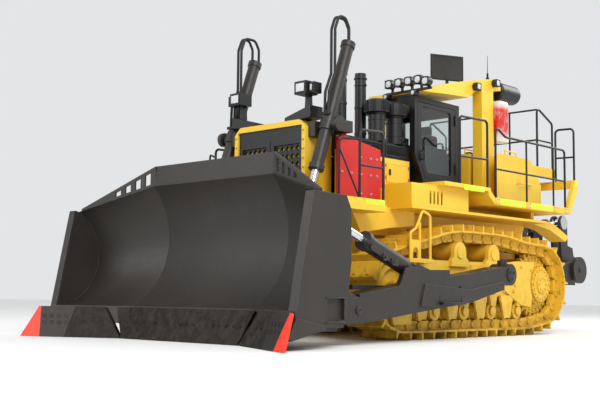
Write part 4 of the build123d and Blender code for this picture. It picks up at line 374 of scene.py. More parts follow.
@dataclass(frozen=True)
class EdgeBit:
    """Rolled wear steel of an end bit, with its outer corner sprayed in a signal colour."""

    name: str
    steel: str
    bloom: str
    signal: str
    inner_y: float = 2.30           # where the signal colour starts at the ground
    lean: float = 0.35              # how much farther out it starts for each metre up

    def build(self) -> bpy.types.Material:
        """Makes the material.

        Returns:
            The material.
        """
        material, shader = blank(self.name, Roughness=0.42)
        tree = material.node_tree
        weather = Weather(tree)
        patch = weather.cloud(0.16, detail=8.0, rough=0.75)
        axes = add(tree, "SeparateXYZ", {"Vector": weather.place})
        out = add(tree, "Math", {0: axes.outputs["Y"]}, operation="ABSOLUTE").outputs[0]
        terms = {0: axes.outputs["Z"], 1: self.lean, 2: self.inner_y}
        line = add(tree, "Math", terms, operation="MULTIPLY_ADD").outputs[0]
        past = add(tree, "Math", {0: out, 1: line}, operation="SUBTRACT").outputs[0]
        sprayed = weather.span(past, 0.0, 4.0 * MM)
        chipped = weather.work("MULTIPLY", sprayed, weather.span(patch, 0.62, 0.54))
        steel = weather.tint(weather.span(patch, 0.4, 0.7), linear(self.steel), linear(self.bloom))
        tree.links.new(weather.tint(chipped, steel, linear(self.signal)), shader.inputs["Base Color"])
        tree.links.new(weather.span(chipped, 0.0, 1.0, 0.55, 0.0), shader.inputs["Metallic"])
        tree.links.new(weather.bump(patch, 1.5 * MM, weather.rounded(5.0 * MM), 0.5), shader.inputs["Normal"])
        return material


@dataclass(frozen=True)
class Moulded:
    """Moulded rubber or plastic: a dull skin with a fine pebbled grain and dust in its hollows."""

    name: str
    body: str
    dusty: str
    roughness: float
    grain_mm: float

    def build(self) -> bpy.types.Material:
        """Makes the material.

        Returns:
            The material.
        """
        material, shader = blank(self.name)
        tree = material.node_tree
        weather = Weather(tree)
        patch = weather.cloud(0.15, detail=6.0)
        pebbles = {"Vector": weather.place, "Scale": 1.0 / (self.grain_mm * MM)}
        cells = add(tree, "TexVoronoi", pebbles).outputs["Distance"]
        colour = weather.tint(weather.span(patch, 0.4, 0.8, 0.0, 0.5), linear(self.body), linear(self.dusty))
        tree.links.new(colour, shader.inputs["Base Color"])
        tree.links.new(weather.span(patch, 0.3, 0.8, self.roughness, self.roughness + 0.2), shader.inputs["Roughness"])
        tree.links.new(weather.bump(cells, 0.5 * MM, weather.rounded(3.0 * MM), 0.4), shader.inputs["Normal"])
        return material


@dataclass(frozen=True)
class Glazing:
    """Toughened glass with a light tint, or the clear moulded lens of a lamp, with a film of dust."""

    name: str
    tint: str
    film: float
    rib_mm: float = 0.0
    clear: float = 1.0              # share of the light that goes through

    def build(self) -> bpy.types.Material:
        """Makes the material.

        Returns:
            The material.
        """
        material, shader = blank(self.name, Transmission_Weight=self.clear, IOR=1.45)
        tree = material.node_tree
        weather = Weather(tree)
        patch = weather.cloud(0.2, detail=6.0)
        film = weather.span(patch, 0.45, 0.8, 0.0, self.film)
        tree.links.new(weather.tint(film, linear(self.tint), linear("A9A091")), shader.inputs["Base Color"])
        tree.links.new(weather.span(patch, 0.4, 0.8, 0.02, 0.02 + self.film), shader.inputs["Roughness"])
        if self.rib_mm:
            scale = {"Vector": weather.place, "Scale": 1.0 / (self.rib_mm * MM) / 3.0}
            ribs = add(tree, "TexWave", scale, bands_direction="Y").outputs["Fac"]
            tree.links.new(weather.bump(ribs, 1.0 * MM), shader.inputs["Normal"])
        return material


@dataclass(frozen=True)
class SeatCloth:
    """Woven seat cloth: a dull dark surface with the over and under of its threads and a soft sheen."""

    name: str
    thread: str
    gap: str
    thread_mm: float = 5.0          # real threads are under 1 mm; these are as coarse as they have to be to show

    def build(self) -> bpy.types.Material:
        """Makes the material.

        Returns:
            The material.
        """
        material, shader = blank(self.name, Roughness=0.9, Sheen_Weight=0.4)
        tree = material.node_tree
        weather = Weather(tree)
        threads = {"Vector": weather.place, "Scale": 1.0 / (self.thread_mm * MM) / 3.0}
        warp = add(tree, "TexWave", threads, bands_direction="Y").outputs["Fac"]
        weft = add(tree, "TexWave", threads, bands_direction="DIAGONAL").outputs["Fac"]
        weave = weather.work("MULTIPLY", warp, weft)
        tree.links.new(weather.tint(weave, linear(self.gap), linear(self.thread)), shader.inputs["Base Color"])
        tree.links.new(weather.bump(weave, 0.8 * MM, None, 0.7), shader.inputs["Normal"])
        return material


@dataclass(frozen=True)
class WrappedBottle:
    """Red pressure bottle in a milky plastic bag: red shows where the bag lies close, with soft creases all over."""

    name: str
    bottle: str
    bag: str
    close: tuple[float, float] = (3.38, 3.74)   # heights between which the bag lies on the bottle
    fades: tuple[float, float] = (0.12, 0.08)   # how fast it comes off below and above them

    def build(self) -> bpy.types.Material:
        """Makes the material.

        Returns:
            The material.
        """
        material, shader = blank(self.name, Roughness=0.25, Coat_Weight=0.6)
        tree = material.node_tree
        weather = Weather(tree)
        crease = weather.cloud(0.06, detail=5.0, rough=0.65, stretch=(1.0, 1.0, 2.5))
        high = add(tree, "SeparateXYZ", {"Vector": weather.place}).outputs["Z"]
        low, top = self.close
        below = weather.span(high, low, low - self.fades[0])
        above = weather.span(high, top, top + self.fades[1])
        loose = weather.work("ADD", weather.work("MAXIMUM", below, above), weather.span(crease, 0.5, 0.7, 0.0, 0.55))
        tree.links.new(weather.tint(loose, linear(self.bottle), linear(self.bag)), shader.inputs["Base Color"])
        tree.links.new(weather.bump(crease, 8.0 * MM, weather.rounded(6.0 * MM), 0.7), shader.inputs["Normal"])
        return material


@dataclass(frozen=True)
class MarkerTape:
    """Retroreflective marker tape: a bright fluorescent film with the fine cells of its prisms, and a faint painted
    glow.
    """

    name: str
    film: str
    worn: str
    cell_mm: float = 12.0           # real cells are about 4 mm; these are as coarse as they have to be to show

    def build(self) -> bpy.types.Material:
        """Makes the material.

        Returns:
            The material.
        """
        # The film's colour is also given off as emission, so the tape glows faintly: a painted glow, since the tape is
        # no lamp.
        material, shader = blank(self.name, Roughness=0.3, Coat_Weight=0.5, Emission_Strength=0.3)
        shader.inputs["Emission Color"].default_value = linear(self.film)
        tree = material.node_tree
        weather = Weather(tree)
        patch = weather.cloud(0.08, detail=6.0)
        prisms = {"Vector": weather.place, "Scale": 1.0 / (self.cell_mm * MM)}
        cells = add(tree, "TexVoronoi", prisms, distance="CHEBYCHEV")
        colour = weather.tint(weather.span(patch, 0.5, 0.8, 0.0, 0.6), linear(self.film), linear(self.worn))
        tree.links.new(colour, shader.inputs["Base Color"])
        tree.links.new(weather.bump(cells.outputs["Distance"], 0.6 * MM, None, 0.6), shader.inputs["Normal"])
        return material


class Coat(Enum):
    """Finishes of the machine, each with a short name as its value."""

    YELLOW = "yellow_paint"
    UNDERCARRIAGE = "undercarriage_paint"
    CRAWLER = "crawler_steel"
    GREY = "dark_grey_paint"
    BLACK = "black_paint"
    RED = "red_paint"
    STEEL = "bare_steel"
    BIT = "end_bit_steel"
    ZINC = "zinc_plate"
    BOTTLE = "wrapped_bottle"
    CHROME = "rod_chrome"
    GLASS = "glass"
    LENS = "lamp_lens"
    RUBBER = "rubber"
    PLASTIC = "plastic"
    CLOTH = "seat_fabric"
    TAPE = "marker_tape"


FINISHES = {
    Coat.YELLOW: Enamel("yellow_enamel", "EDBE24", "F3CB45", soiling=0.22, dusting=0.08, wear=0.3),
    # The undercarriage's soil is dark and laid thickly up to 1.5 m: partly real mud, partly painted shade that darkens
    # it towards the bottom, where the hollows between the rollers are in shade.
    Coat.UNDERCARRIAGE: Enamel("undercarriage_enamel", "E8B826", "EFC544", soil="4E3A22", splash_top=1.5, soiling=0.5,
                               dusting=0.12, wear=0.5, roughness=0.42, clod=0.16),
    Coat.CRAWLER: PitShoe("crawler_paint", "E6B62C", "5E4526", "3A2E22"),
    Coat.GREY: Enamel("blade_grey_enamel", "231F1B", "2E2924", soil="4E463B", bare="8C8479", splash_top=0.7,
                      soiling=0.25, dusting=0.06, wear=0.6, roughness=0.42),
    Coat.BLACK: Enamel("black_enamel", "0B0B0C", "151516", soil="4B463E", bare="4A4844", splash_top=0.8, soiling=0.2,
                       dusting=0.06, wear=0.25, roughness=0.36),
    Coat.RED: Enamel("red_enamel", "C20D02", "CE1606", soil="6B3A2A", soiling=0.12, dusting=0.02, wear=0.15,
                     roughness=0.42),
    Coat.BOTTLE: WrappedBottle("wrapped_bottle", "D0140C", "D9D3CC"),
    Coat.ZINC: Metal("zinc_plate", "C4C6C8", "8E8B84", 0.25, 0.28, scratch_mm=3.0),
    Coat.STEEL: Metal("wear_steel", "2E2B28", "382F27", 0.75, 0.45),
    Coat.BIT: EdgeBit("end_bit_steel", "2C2926", "372E26", "F5320A"),
    Coat.CHROME: Metal("hard_chrome", "D8D9DC", "B9B4A8", 0.08, 0.08, scratch_mm=2.0),
    Coat.GLASS: Glazing("tinted_glass", "E9F0EE", 0.02),
    Coat.LENS: Glazing("lamp_lens", "EEF2F4", 0.05, rib_mm=12.0, clear=0.3),
    Coat.RUBBER: Moulded("rubber_hose", "141414", "3A362F", 0.6, 9.0),
    Coat.PLASTIC: Moulded("moulded_plastic", "1E2022", "3B3A36", 0.5, 6.0),
    Coat.CLOTH: SeatCloth("seat_cloth", "2C2F33", "0E0F10"),
    Coat.TAPE: MarkerTape("marker_tape", "BFEE10", "A6CC2A"),
}


# ---------------------------------------------------------------- modelling by operators
def free_hands() -> None:
    """Leaves edit mode and deselects everything."""
    if bpy.context.object and bpy.context.object.mode != "OBJECT":
        bpy.ops.object.mode_set(mode="OBJECT")
    bpy.ops.object.select_all(action="DESELECT")


def aim(at: Point, way: Point) -> Matrix:
    """Place of a thing whose own Z looks along a direction.

    Args:
        at: Where its origin goes.
        way: Direction of its Z.

    Returns:
        The place.
    """
    return Matrix.Translation(Vector(at)) @ Vector(way).to_track_quat("Z", "Y").to_matrix().to_4x4()


class Shape:
    """A mesh modelled by operators, whose object stays at the origin."""

    def __init__(self, obj: bpy.types.Object) -> None:
        """Takes an object as it is."""
        self.obj = obj

    @classmethod
    def _named(cls, name: str) -> "Shape":
        """Names the primitive just added and puts its place in its mesh.

        Args:
            name: The piece's name.

        Returns:
            The shape.
        """
        obj = bpy.context.object
        obj.name = obj.data.name = name
        bpy.ops.object.transform_apply(location=True, rotation=True, scale=True)
        return cls(obj)

    @classmethod
    def block(cls, name: str, low: Point, high: Point) -> "Shape":
        """Block between two corners.

        Args:
            name: The piece's name.
            low: Its lowest corner.
            high: Its highest corner.

        Returns:
            The shape.
        """
        low, high = Vector(low), Vector(high)
        free_hands()
        bpy.ops.mesh.primitive_cube_add(size=1.0, location=(low + high) / 2, scale=high - low)
        return cls._named(name)

    @classmethod
    def rod(cls, name: str, start: Point, end: Point, radius: float, sides: int = 20) -> "Shape":
        """Round bar between two points.

        Args:
            name: The piece's name.
            start: Middle of its first end.
            end: Middle of its other end.
            radius: Its radius.
            sides: Faces round it.

        Returns:
            The shape.
        """
        start, end = Vector(start), Vector(end)
        run = end - start
        free_hands()
        bpy.ops.mesh.primitive_cylinder_add(vertices=sides, radius=radius, depth=run.length, location=(start + end) / 2,
                                            rotation=run.to_track_quat("Z", "Y").to_euler())
        return cls._named(name)

    @classmethod
    def ring(cls, name: str, at: Point, way: Point, radius: float, wall: float, sides: int = 24) -> "Shape":
        """Round ring of round section.

        Args:
            name: The piece's name.
            at: Its middle.
            way: Direction it faces.
            radius: To the middle of its section.
            wall: Radius of its section.
            sides: Faces round it.

        Returns:
            The shape.
        """
        free_hands()
        turn = Vector(way).to_track_quat("Z", "Y").to_euler()
        bpy.ops.mesh.primitive_torus_add(location=Vector(at), rotation=turn, major_segments=sides, minor_segments=8,
                                         major_radius=radius, minor_radius=wall)
        return cls._named(name)

    def _pick(self, kind: str, flags: list[bool]) -> "Shape":
        """Selects elements in edit mode.

        Args:
            kind: FACE, EDGE or VERT.
            flags: Whether each element is selected.

        Returns:
            The shape.
        """
        free_hands()
        self.obj.select_set(True)
        bpy.context.view_layer.objects.active = self.obj
        bpy.ops.object.mode_set(mode="EDIT")
        bpy.ops.mesh.select_mode(type=kind)
        bpy.ops.mesh.select_all(action="DESELECT")
        bpy.ops.object.mode_set(mode="OBJECT")
        mesh = self.obj.data
        {"FACE": mesh.polygons, "EDGE": mesh.edges, "VERT": mesh.vertices}[kind].foreach_set("select", flags)
        bpy.ops.object.mode_set(mode="EDIT")
        return self

    def faces(self, test: FaceTest) -> "Shape":
        """Selects the faces whose middle and normal pass a test."""
        free_hands()
        return self._pick("FACE", [bool(test(face.center, face.normal)) for face in self.obj.data.polygons])

    def facing(self, way: Point, least: float = 0.9) -> "Shape":
        """Selects the faces that look along a direction."""
        way = Vector(way).normalized()
        return self.faces(lambda middle, normal: normal.dot(way) > least)

    def corners(self, test: Callable[[Vector], bool]) -> "Shape":
        """Selects the vertices whose place passes a test."""
        free_hands()
        return self._pick("VERT", [bool(test(vertex.co)) for vertex in self.obj.data.vertices])

    def inset(self, by: float, deep: float = 0.0) -> "Shape":
        """Insets the selected faces, and sinks them by a depth."""
        bpy.ops.mesh.inset(thickness=by, depth=-deep)
        return self

    def extrude(self, by: Point) -> "Shape":
        """Extrudes the selected faces along a vector."""
        bpy.ops.mesh.extrude_region_move(TRANSFORM_OT_translate={"value": tuple(by)})
        return self

    def shift(self, by: Point) -> "Shape":
        """Moves what is selected."""
        bpy.ops.transform.translate(value=tuple(by))
        return self

    def resize(self, factors: Point, about: Point) -> "Shape":
        """Scales what is selected about a point."""
        bpy.ops.transform.resize(value=tuple(factors), center_override=tuple(about))
        return self

    def divide(self, cuts: int) -> "Shape":
        """Subdivides what is selected."""
        bpy.ops.mesh.subdivide(number_cuts=cuts)
        return self

    def soften(self, width: float, segments: int = 2, angle: float = 40.0) -> "Shape":
        """Bevels every edge sharper than an angle.

        Args:
            width: Width of the bevel.
            segments: Faces across it.
            angle: Least angle of an edge that gets it, in degrees.

        Returns:
            The shape.
        """
        free_hands()
        self.obj.select_set(True)
        bpy.context.view_layer.objects.active = self.obj
        bpy.ops.object.modifier_add(type="BEVEL")
        bevel = self.obj.modifiers[-1]
        bevel.width, bevel.segments, bevel.angle_limit = width, segments, radians(angle)
        bpy.ops.object.modifier_apply(modifier=bevel.name)
        return self

    def smooth(self, levels: int = 2) -> "Shape":
        """Rounds the whole shape by subdivision surfaces.

        Args:
            levels: Times that each face is divided.

        Returns:
            The shape.
        """
        free_hands()
        self.obj.select_set(True)
        bpy.context.view_layer.objects.active = self.obj
        bpy.ops.object.modifier_add(type="SUBSURF")
        rounding = self.obj.modifiers[-1]
        rounding.levels = rounding.render_levels = levels
        bpy.ops.object.modifier_apply(modifier=rounding.name)
        bpy.ops.object.shade_smooth()
        return self

    def both_sides(self) -> "Shape":
        """Adds the same shape mirrored to the machine's other side.

        Returns:
            The shape.
        """
        free_hands()
        self.obj.select_set(True)
        bpy.context.view_layer.objects.active = self.obj
        bpy.ops.object.modifier_add(type="MIRROR")
        twin = self.obj.modifiers[-1]
        twin.use_axis = (False, True, False)
        twin.use_mirror_merge = False
        bpy.ops.object.modifier_apply(modifier=twin.name)
        return self

    def join(self, *others: "Shape") -> "Shape":
        """Joins other shapes into this one.

        Args:
            others: Shapes that it takes in.

        Returns:
            The shape.
        """
        free_hands()
        for other in others:
            other.obj.select_set(True)
        self.obj.select_set(True)
        bpy.context.view_layer.objects.active = self.obj
        if others:
            bpy.ops.object.join()
        return self

    def copies(self, name: str, places: Sequence[Matrix]) -> "Shape":
        """Copies this model to each place as one piece, each copy with its own mesh, and puts the model away.

        Args:
            name: The piece's name.
            places: Where the copies go.

        Returns:
            The piece.
        """
        free_hands()
        made = []
        for place in places:
            twin = self.obj.copy()
            twin.data = self.obj.data.copy()
            twin.data.transform(place)
            bpy.context.scene.collection.objects.link(twin)
            made.append(Shape(twin))
        piece = joined(made)
        piece.obj.name = piece.obj.data.name = name
        bpy.data.objects.remove(self.obj)
        return piece


def joined(pieces: Sequence[Shape]) -> Shape:
    """Joins a row of shapes into its first one."""
    return pieces[0].join(*pieces[1:])


def hex_bolt(width: float) -> Shape:
    """Models a bolt head on its washer, looking up from the origin.

    Args:
        width: Across the washer.

    Returns:
        The model.
    """
    washer = Shape.rod("bolt", (0, 0, -0.06 * width), (0, 0, 0.12 * width), width / 2, 16)
    head = Shape.rod("head", (0, 0, 0.1 * width), (0, 0, 0.55 * width), 0.42 * width, 6)
    head.facing(UP).inset(0.06 * width, 0.0).shift((0, 0, 0.04 * width))
    return washer.join(head)


def plough_bolt(width: float) -> Shape:
    """Models a countersunk bolt head with a sunk square, looking up from the origin.

    Args:
        width: Across the head.

    Returns:
        The model.
    """
    head = Shape.rod("plough_bolt", (0, 0, -0.1 * width), (0, 0, 0.1 * width), width / 2, 16)
    head.facing(UP).inset(0.12 * width).inset(0.02 * width, 0.16 * width)
    return head


@dataclass
class Surfaces:
    """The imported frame's nodes as surfaces that fittings are set on."""

    nodes: dict[str, bpy.types.Object]

    def body(self, node: str) -> str:
        """Name of the body that a node belongs to."""
        return self.nodes[node]["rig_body"]

    def touch(self, node: str, start: Point, way: Point) -> tuple[Vector, Vector]:
        """Finds where a straight line first meets a node.

        Args:
            node: The node's name.
            start: Where the line starts.
            way: Its direction.

        Returns:
            The point and the surface's normal there.
        """
        hit, point, normal, _ = self.nodes[node].ray_cast(Vector(start), Vector(way))
        if not hit:
            raise LookupError(f"no surface of {node} from {tuple(start)} along {tuple(way)}")
        return point, normal

    def seat(self, node: str, start: Point, way: Point) -> Matrix:
        """Place of a fitting on the surface that a line meets, looking out of it."""
        return aim(*self.touch(node, start, way))

    def seats(self, node: str, starts: Sequence[Point], way: Point) -> list[Matrix]:
        """Places of fittings on the surface that parallel lines meet square on.

        Args:
            node: The node's name.
            starts: Where the lines start.
            way: Their direction.

        Returns:
            The places, without those of lines that meet no face square on.
        """
        way = Vector(way).normalized()
        found = [self.nodes[node].ray_cast(Vector(start), way) for start in starts]
        return [aim(point, normal) for hit, point, normal, _ in found if hit and normal.dot(way) < -0.7]

    def pair(self, node: str, x: float, z: float, out: float = FAR_OUT) -> list[Matrix]:
        """Places of a fitting on the two sides of a node, the left one first.

        Args:
            node: The node's name.
            x: Station of both.
            z: Height of both.
            out: How far out the lines start that look for the sides.

        Returns:
            The two places.
        """
        return [self.seat(node, (x, side * out, z), (0, -side, 0)) for side in (1, -1)]

    def side_y(self, node: str, x: float, z: float, out: float = FAR_OUT) -> float:
        """Finds how far out the left side of a node lies.

        Args:
            node: The node's name.
            x: Station at which it is met.
            z: Height at which it is met.
            out: How far out the line starts that looks for it.

        Returns:
            The distance from the machine's middle.
        """
        return self.touch(node, (x, out, z), -LEFT)[0].y

    def top_z(self, node: str, x: float, y: float) -> float:
        """Finds how high the top of a node lies at a place."""
        return self.touch(node, (x, y, FAR_OFF), -UP)[0].z


@dataclass
class Assembly:
    """A sub-assembly's fittings, with what they are set on and painted with."""

    surfaces: Surfaces
    coats: dict[Coat, bpy.types.Material]

    def hand_in(self, shape: Shape, coat: Coat, body: str = "hull", angle: float = 32.0) -> Shape:
        """Paints a finished piece, makes it ride and reports it.

        Args:
            shape: The piece.
            coat: Its finish.
            body: The body that it moves with.
            angle: Edges below this angle are shaded smooth, in degrees.

        Returns:
            The piece.
        """
        free_hands()
        shape.obj.select_set(True)
        bpy.context.view_layer.objects.active = shape.obj
        bpy.ops.object.shade_smooth_by_angle(angle=radians(angle))
        shape.obj.data.materials.clear()
        shape.obj.data.materials.append(self.coats[coat])
        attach(shape.obj, body)
        LOG.info("%s: %s on %s, %d faces", shape.obj.name, coat.name, body, len(shape.obj.data.polygons))
        return shape


# ---------------------------------------------------------------- crawlers and track frames
@dataclass
class Crawlers(Assembly):
    """Link bosses, shoe bolts and the bolted caps of both crawlers."""

    middle_y: float = 1.25
    shoes: int = 41
    pin_z: float = 0.19
    sprocket: tuple[float, float] = (-2.375, 0.83)
    sprocket_r: float = 0.568
    idler: tuple[float, float] = (1.575, 0.69)
    idler_r: float = 0.5
    lift_off_x: float = -1.825
    carriers: tuple[tuple[float, float], ...] = ((0.075, 1.31), (-0.855, 1.31))
    carrier_r: float = 0.13
    rail_in: float = 0.07           # the rails' rolling face, inside the pins
    link_half: float = 0.165        # from the chain's middle to a link's outer face
    shoe_face: float = 0.094        # a shoe's outer face, outside the pins
    boss_r: float = 0.046
    bolt_w: float = 0.044
    bolt_shares: tuple[float, float] = (0.42, 0.72)     # of the way from pin to pin
    bolt_y: float = 0.12            # from the chain's middle
    off_sprocket: tuple[float, float] = (0.56, 1.412)   # ahead of the sprocket's middle, and height
    rear_sag: tuple[float, float] = (0.33, 0.012)       # behind the rear carrier roller, and depth
    front_sag: tuple[float, float] = (0.3, 0.025)       # ahead of the front carrier roller, and depth
    cap_r: float = 0.07
    cap_ring: float = 0.045         # radius of a cap's ring of bolts
    guard_row: tuple[float, float, float, int] = (-1.45, 0.24, 0.7, 11)     # first station, pitch, height, bolts
    guard_spots: tuple[tuple[float, float], ...] = ((-1.3, 1.08), (-1.7, 1.1), (-2.0, 1.05), (-2.0, 0.8), (-1.5, 0.8))

    def route(self) -> list[tuple[float, float]]:
        """Follows the chain's pins from under the idler to the rear and back over the top.

        Returns:
            Points of the route as (x, z).
        """
        step = radians(3.0)
        (sx, sz), (ix, iz) = self.sprocket, self.idler
        path = [(ix, self.pin_z), (self.lift_off_x, self.pin_z)]
        turn = -pi / 2 - 2 * atan2(sz - self.sprocket_r - self.pin_z, self.lift_off_x - sx)
        while turn > -3 * pi / 2 - step:
            path.append((sx + self.sprocket_r * cos(turn), sz + self.sprocket_r * sin(turn)))
            turn -= step
        (front, carrier_z), (rear, _) = self.carriers
        over = carrier_z + self.carrier_r + self.rail_in
        path += [(sx + self.off_sprocket[0], self.off_sprocket[1]), (rear - self.rear_sag[0], over - self.rear_sag[1]),
                 (rear, over), (front, over), (front + self.front_sag[0], over - self.front_sag[1])]
        turn = pi / 2 + atan2(iz + self.idler_r - over, ix - front)
        while turn > -pi / 2:
            path.append((ix + self.idler_r * cos(turn), iz + self.idler_r * sin(turn)))
            turn -= step
        return path

    def pins(self) -> list[tuple[float, float]]:
        """Places of the chain's pins, one pitch apart along the route.

        Returns:
            The pins as (x, z).
        """
        path = self.route()
        legs = list(zip(path, path[1:] + path[:1]))
        spans = [hypot(b[0] - a[0], b[1] - a[1]) for a, b in legs]
        pitch = sum(spans) / self.shoes
        pins = []
        for count in range(self.shoes):
            left, leg = count * pitch, 0
            while left > spans[leg]:
                left -= spans[leg]
                leg += 1
            (ax, az), (bx, bz) = legs[leg]
            share = left / spans[leg]
            pins.append((ax + (bx - ax) * share, az + (bz - az) * share))
        return pins

    def build(self) -> None:
        """Builds the crawlers' fittings."""
        pins = self.pins()
        bosses, bolts = [], []
        for side in (1, -1):
            for face in (1, -1):
                y = side * self.middle_y + face * self.link_half
                bosses += [aim((x, y, z), (0, face, 0)) for x, z in pins]
            for (ax, az), (bx, bz) in zip(pins, pins[1:] + pins[:1]):
                span = hypot(bx - ax, bz - az)
                ux, uz = (bx - ax) / span, (bz - az) / span
                for share in self.bolt_shares:
                    for across in (-self.bolt_y, self.bolt_y):
                        x = ax + ux * span * share - uz * self.shoe_face
                        z = az + uz * span * share + ux * self.shoe_face
                        bolts.append(aim((x, side * self.middle_y + across, z), (-uz, 0, ux)))
        boss = Shape.rod("link_boss", (0, 0, -0.01), (0, 0, 0.024), self.boss_r, 14)
        boss.facing(UP).inset(0.014).inset(0.003, 0.006)
        self.hand_in(boss.copies("link_bosses", bosses), Coat.CRAWLER)
        self.hand_in(hex_bolt(self.bolt_w).copies("shoe_bolts", bolts), Coat.CRAWLER)
        self.drive_bolts()
        self.roller_caps()

    def drive_bolts(self) -> None:
        """Bolt circles of the final drives, sprockets and idlers."""
        circles = (                 # node, middle, radius of the circle, bolts, width of a bolt
            ("final_drives", self.sprocket, 0.43, 25, 0.05),
            ("final_drives", self.sprocket, 0.315, 26, 0.034),
            ("final_drives", self.sprocket, 0.25, 18, 0.046),
            ("final_drives", self.sprocket, 0.105, 8, 0.036),
            ("idlers", self.idler, 0.12, 8, 0.036),
        )
        for number, (node, (x, z), radius, count, width) in enumerate(circles):
            places = []
            for side in (1, -1):
                for turn in range(count):
                    angle = 2 * pi * turn / count
                    start = (x + radius * cos(angle), side * 2.4, z + radius * sin(angle))
                    places.append(self.surfaces.seat(node, start, (0, -side, 0)))
            self.hand_in(hex_bolt(width).copies(f"hub_bolts_{number}", places), Coat.UNDERCARRIAGE)

    def roller_caps(self) -> None:
        """Bolted caps on the carrier rollers' ends, and bolts along the roller guards."""
        cap = Shape.rod("carrier_cap", (0, 0, -0.01), (0, 0, 0.03), self.cap_r, 24)
        cap.facing(UP).inset(0.012).inset(0.004, 0.008)
        ring = [aim((self.cap_ring * cos(radians(a)), self.cap_ring * sin(radians(a)), 0.022), UP)
                for a in range(30, 390, 60)]
        bolts = hex_bolt(0.022).copies("cap_bolts", ring)
        places = [self.surfaces.seat("track_rollers", (x, side * 2.0, z), (0, -side, 0))
                  for side in (1, -1) for x, z in self.carriers]
        self.hand_in(cap.join(bolts).copies("carrier_caps", places), Coat.UNDERCARRIAGE)
        guards = []
        first, pitch, height, count = self.guard_row
        for side, node in ((1, "track_frame_left"), (-1, "track_frame_right")):
            spots = [(first + pitch * n, side * 2.0, height) for n in range(count)]
            spots += [(x, side * 2.0, z) for x, z in self.guard_spots]
            guards += self.surfaces.seats(node, spots, (0, -side, 0))
        self.hand_in(hex_bolt(0.05).copies("guard_bolts", guards), Coat.UNDERCARRIAGE)


# ---------------------------------------------------------------- blade and its linkage
@dataclass
class Blade(Assembly):
    """Bolts of the cutting edges and end bits, cover plates of the end plates, and the keepers of the blade's pins."""

    edge_bolt_z: float = 0.22
    edge_pitch: float = 0.125
    edge_steps: int = 14            # pitches from the middle to the last bolt
    knee_y: float = 1.19
    knee_gap: float = 0.04          # no bolt stands as near as this to a knee
    cover: tuple[float, float, float, float] = (3.808, 4.122, 0.303, 0.587)     # x and z spans
    cover_in: tuple[float, float] = (0.058, 0.045)      # its back and face, inside the end plate's face
    ledge_out: float = 0.014        # a ledge's face, outside the end plate's face
    ledge_h: float = 0.018
    bit_rows: tuple[tuple[float, float, float], ...] = ((0.29, 2.04, 2.35), (0.20, 2.0, 2.31))  # height, first, last

    def build(self) -> None:
        """Builds the blade's fittings."""
        across = [self.edge_pitch * step for step in range(-self.edge_steps, self.edge_steps + 1)]
        starts = [(FAR_OFF, y, self.edge_bolt_z) for y in across if abs(abs(y) - self.knee_y) > self.knee_gap]
        places = self.surfaces.seats("cutting_edges", starts, -FORWARD)
        self.hand_in(plough_bolt(0.04).copies("edge_bolts", places), Coat.STEEL, "blade")
        starts = [(FAR_OFF, side * (first + (last - first) * step / 3), z)
                  for side in (1, -1) for z, first, last in self.bit_rows for step in range(4)]
        places = self.surfaces.seats("end_bits", starts, -FORWARD)
        self.hand_in(plough_bolt(0.062).copies("end_bit_bolts", places), Coat.BLACK, "blade")
        self.covers()
        for node, name, (x, z), radius in (     # node, piece, its pin, radius of the plate
            ("lift_rods", "lift_pin_keepers", (3.283, 0.70), 0.04),
            ("tilt_rods", "tilt_pin_keepers", (3.525, 1.587), 0.04),
            ("moldboard", "arm_pin_keepers", (3.125, 0.43), 0.055),
        ):
            places = self.surfaces.pair(node, x, z)
            self.hand_in(keeper(radius).copies(name, places), Coat.GREY, self.surfaces.body(node))

    def covers(self) -> None:
        """Cover plate in the recess of each end plate, between two ledges."""
        x0, x1, z0, z1 = self.cover
        face = self.surfaces.side_y("moldboard", x0 + 0.1, z1 + 0.1, 4.0)
        back, front = self.cover_in
        cover = Shape.block("end_plate_covers", (x0, face - back, z0), (x1, face - front, z1))
        cover.facing(LEFT).inset(0.02)
        ledges = []
        for z in (z0 - 0.008, z1 - 0.01):
            low, high = (x0 + 0.004, face - 0.056, z), (x1 + 0.02, face + self.ledge_out, z + self.ledge_h)
            ledges.append(Shape.block("ledge", low, high).soften(0.005))
        self.hand_in(cover.join(*ledges).both_sides(), Coat.GREY, "blade")


def keeper(radius: float) -> Shape:
    """Models the bolted plate that keeps a pin in, looking up from the origin.

    Args:
        radius: Of the plate.

    Returns:
        The model.
    """
    plate = Shape.rod("keeper", (0, 0, -0.004), (0, 0, 0.014), radius, 24)
    plate.facing(UP).inset(0.1 * radius, 0.0).shift((0, 0, 0.003))
    ring = 0.58 * radius
    spots = [aim((ring * cos(a), ring * sin(a), 0.015), UP) for a in (0.5, 0.5 + 2 * pi / 3, 0.5 + 4 * pi / 3)]
    return plate.join(hex_bolt(0.42 * radius).copies("keeper_bolts", spots))


